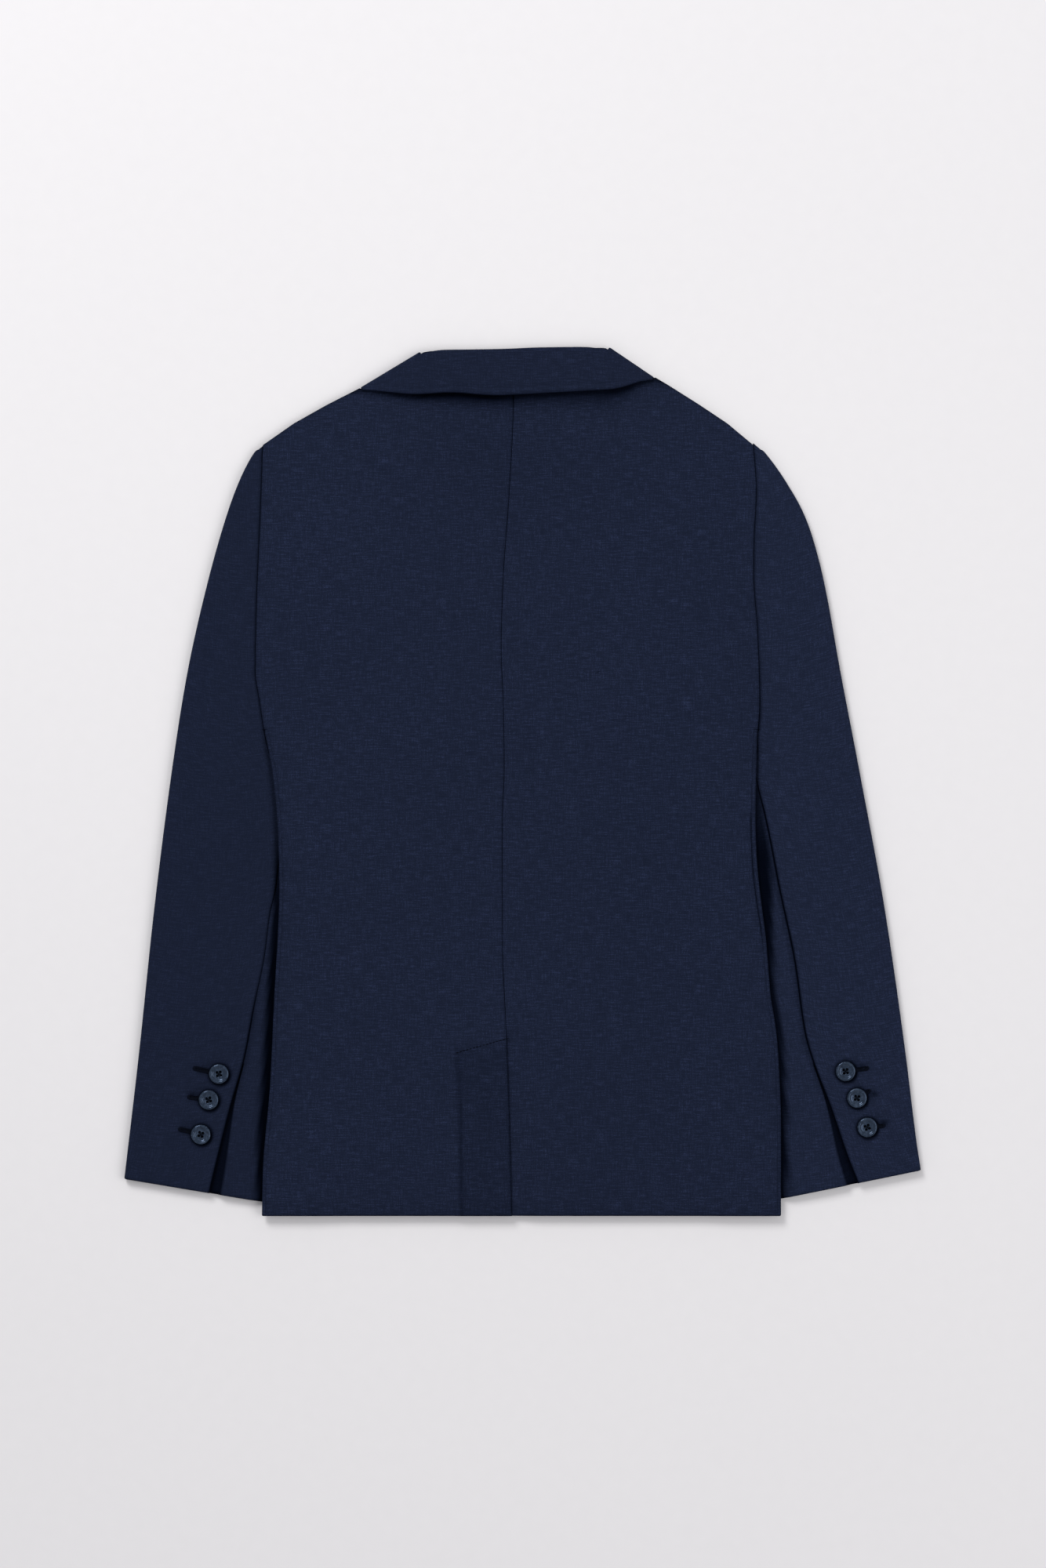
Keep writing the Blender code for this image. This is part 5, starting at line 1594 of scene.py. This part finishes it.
# %% [markdown]
# ## What each piece is
#
# Every cloth panel stands for one solid of the plain model and takes its place, and the solid is
# hidden. Stitches, buttonholes and threads ride along without replacing anything.
for node in RESTS_ON:
    panel = panels[node]
    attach(panel, "root")
    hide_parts(node)
    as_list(extras.get(node, []))
for sewn in [vent_stitches] + list(buttonholes.values()):
    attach(sewn, "root")
for seat, made in buttons.items():
    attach(made, "root")
    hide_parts("cuff_button_" + seat)
    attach(button_threads[seat], "root")
print("sheets:", len(panels), "and small pieces:", 1 + 3 * len(buttons))

# %% [markdown]
# ## Camera
#
# The picture was taken from straight above with a long lens, so the jacket hardly foreshortens. The
# frame is 800 mm wide and 1200 mm high at the surface, and its middle is a hair off the jacket's.
# %% Camera
FRAME_HEIGHT = 1.2
AIM = (0.0003, -0.0015)
LENS = 100.0
SENSOR = 36.0
camera_data = bpy.data.cameras.new("camera")
camera_data.lens = LENS
camera_data.sensor_width = SENSOR
camera = placed("camera", camera_data)
camera.location = (*AIM, FRAME_HEIGHT * LENS / SENSOR)
bpy.context.scene.camera = camera
bpy.context.scene.view_settings.view_transform = "Standard"
print("camera height:", round(camera.location.z, 3), "m")

# %% [markdown]
# ## Soft studio light
#
# Two large soft boxes stand to the sides and a pale surround fills the rest, as in a packshot studio.
# The one at the upper left is the stronger, so the folds and the collar's edge still read.
# %% Lights


def soft_box(name, place, size, power):
    """Square area light that looks at the jacket's middle."""
    data = bpy.data.lights.new(name, "AREA")
    data.shape = "SQUARE"
    data.size = size
    data.energy = power
    made = placed(name, data)
    made.location = place
    made.rotation_euler = (-Vector(place)).to_track_quat("-Z", "Y").to_euler()


soft_box("soft_box_upper_left", (-1.4, 2.3, 2.4), 1.4, 68)
soft_box("soft_box_right", (2.2, -0.4, 2.4), 2.0, 27)
world = bpy.data.worlds.new("pale_surround")
world.use_nodes = True
surround = world.node_tree.nodes["Background"]
surround.inputs["Color"].default_value = linear("#fbfbff")
surround.inputs["Strength"].default_value = 0.43
bpy.context.scene.world = world
print("lights: 2 soft boxes and the surround")
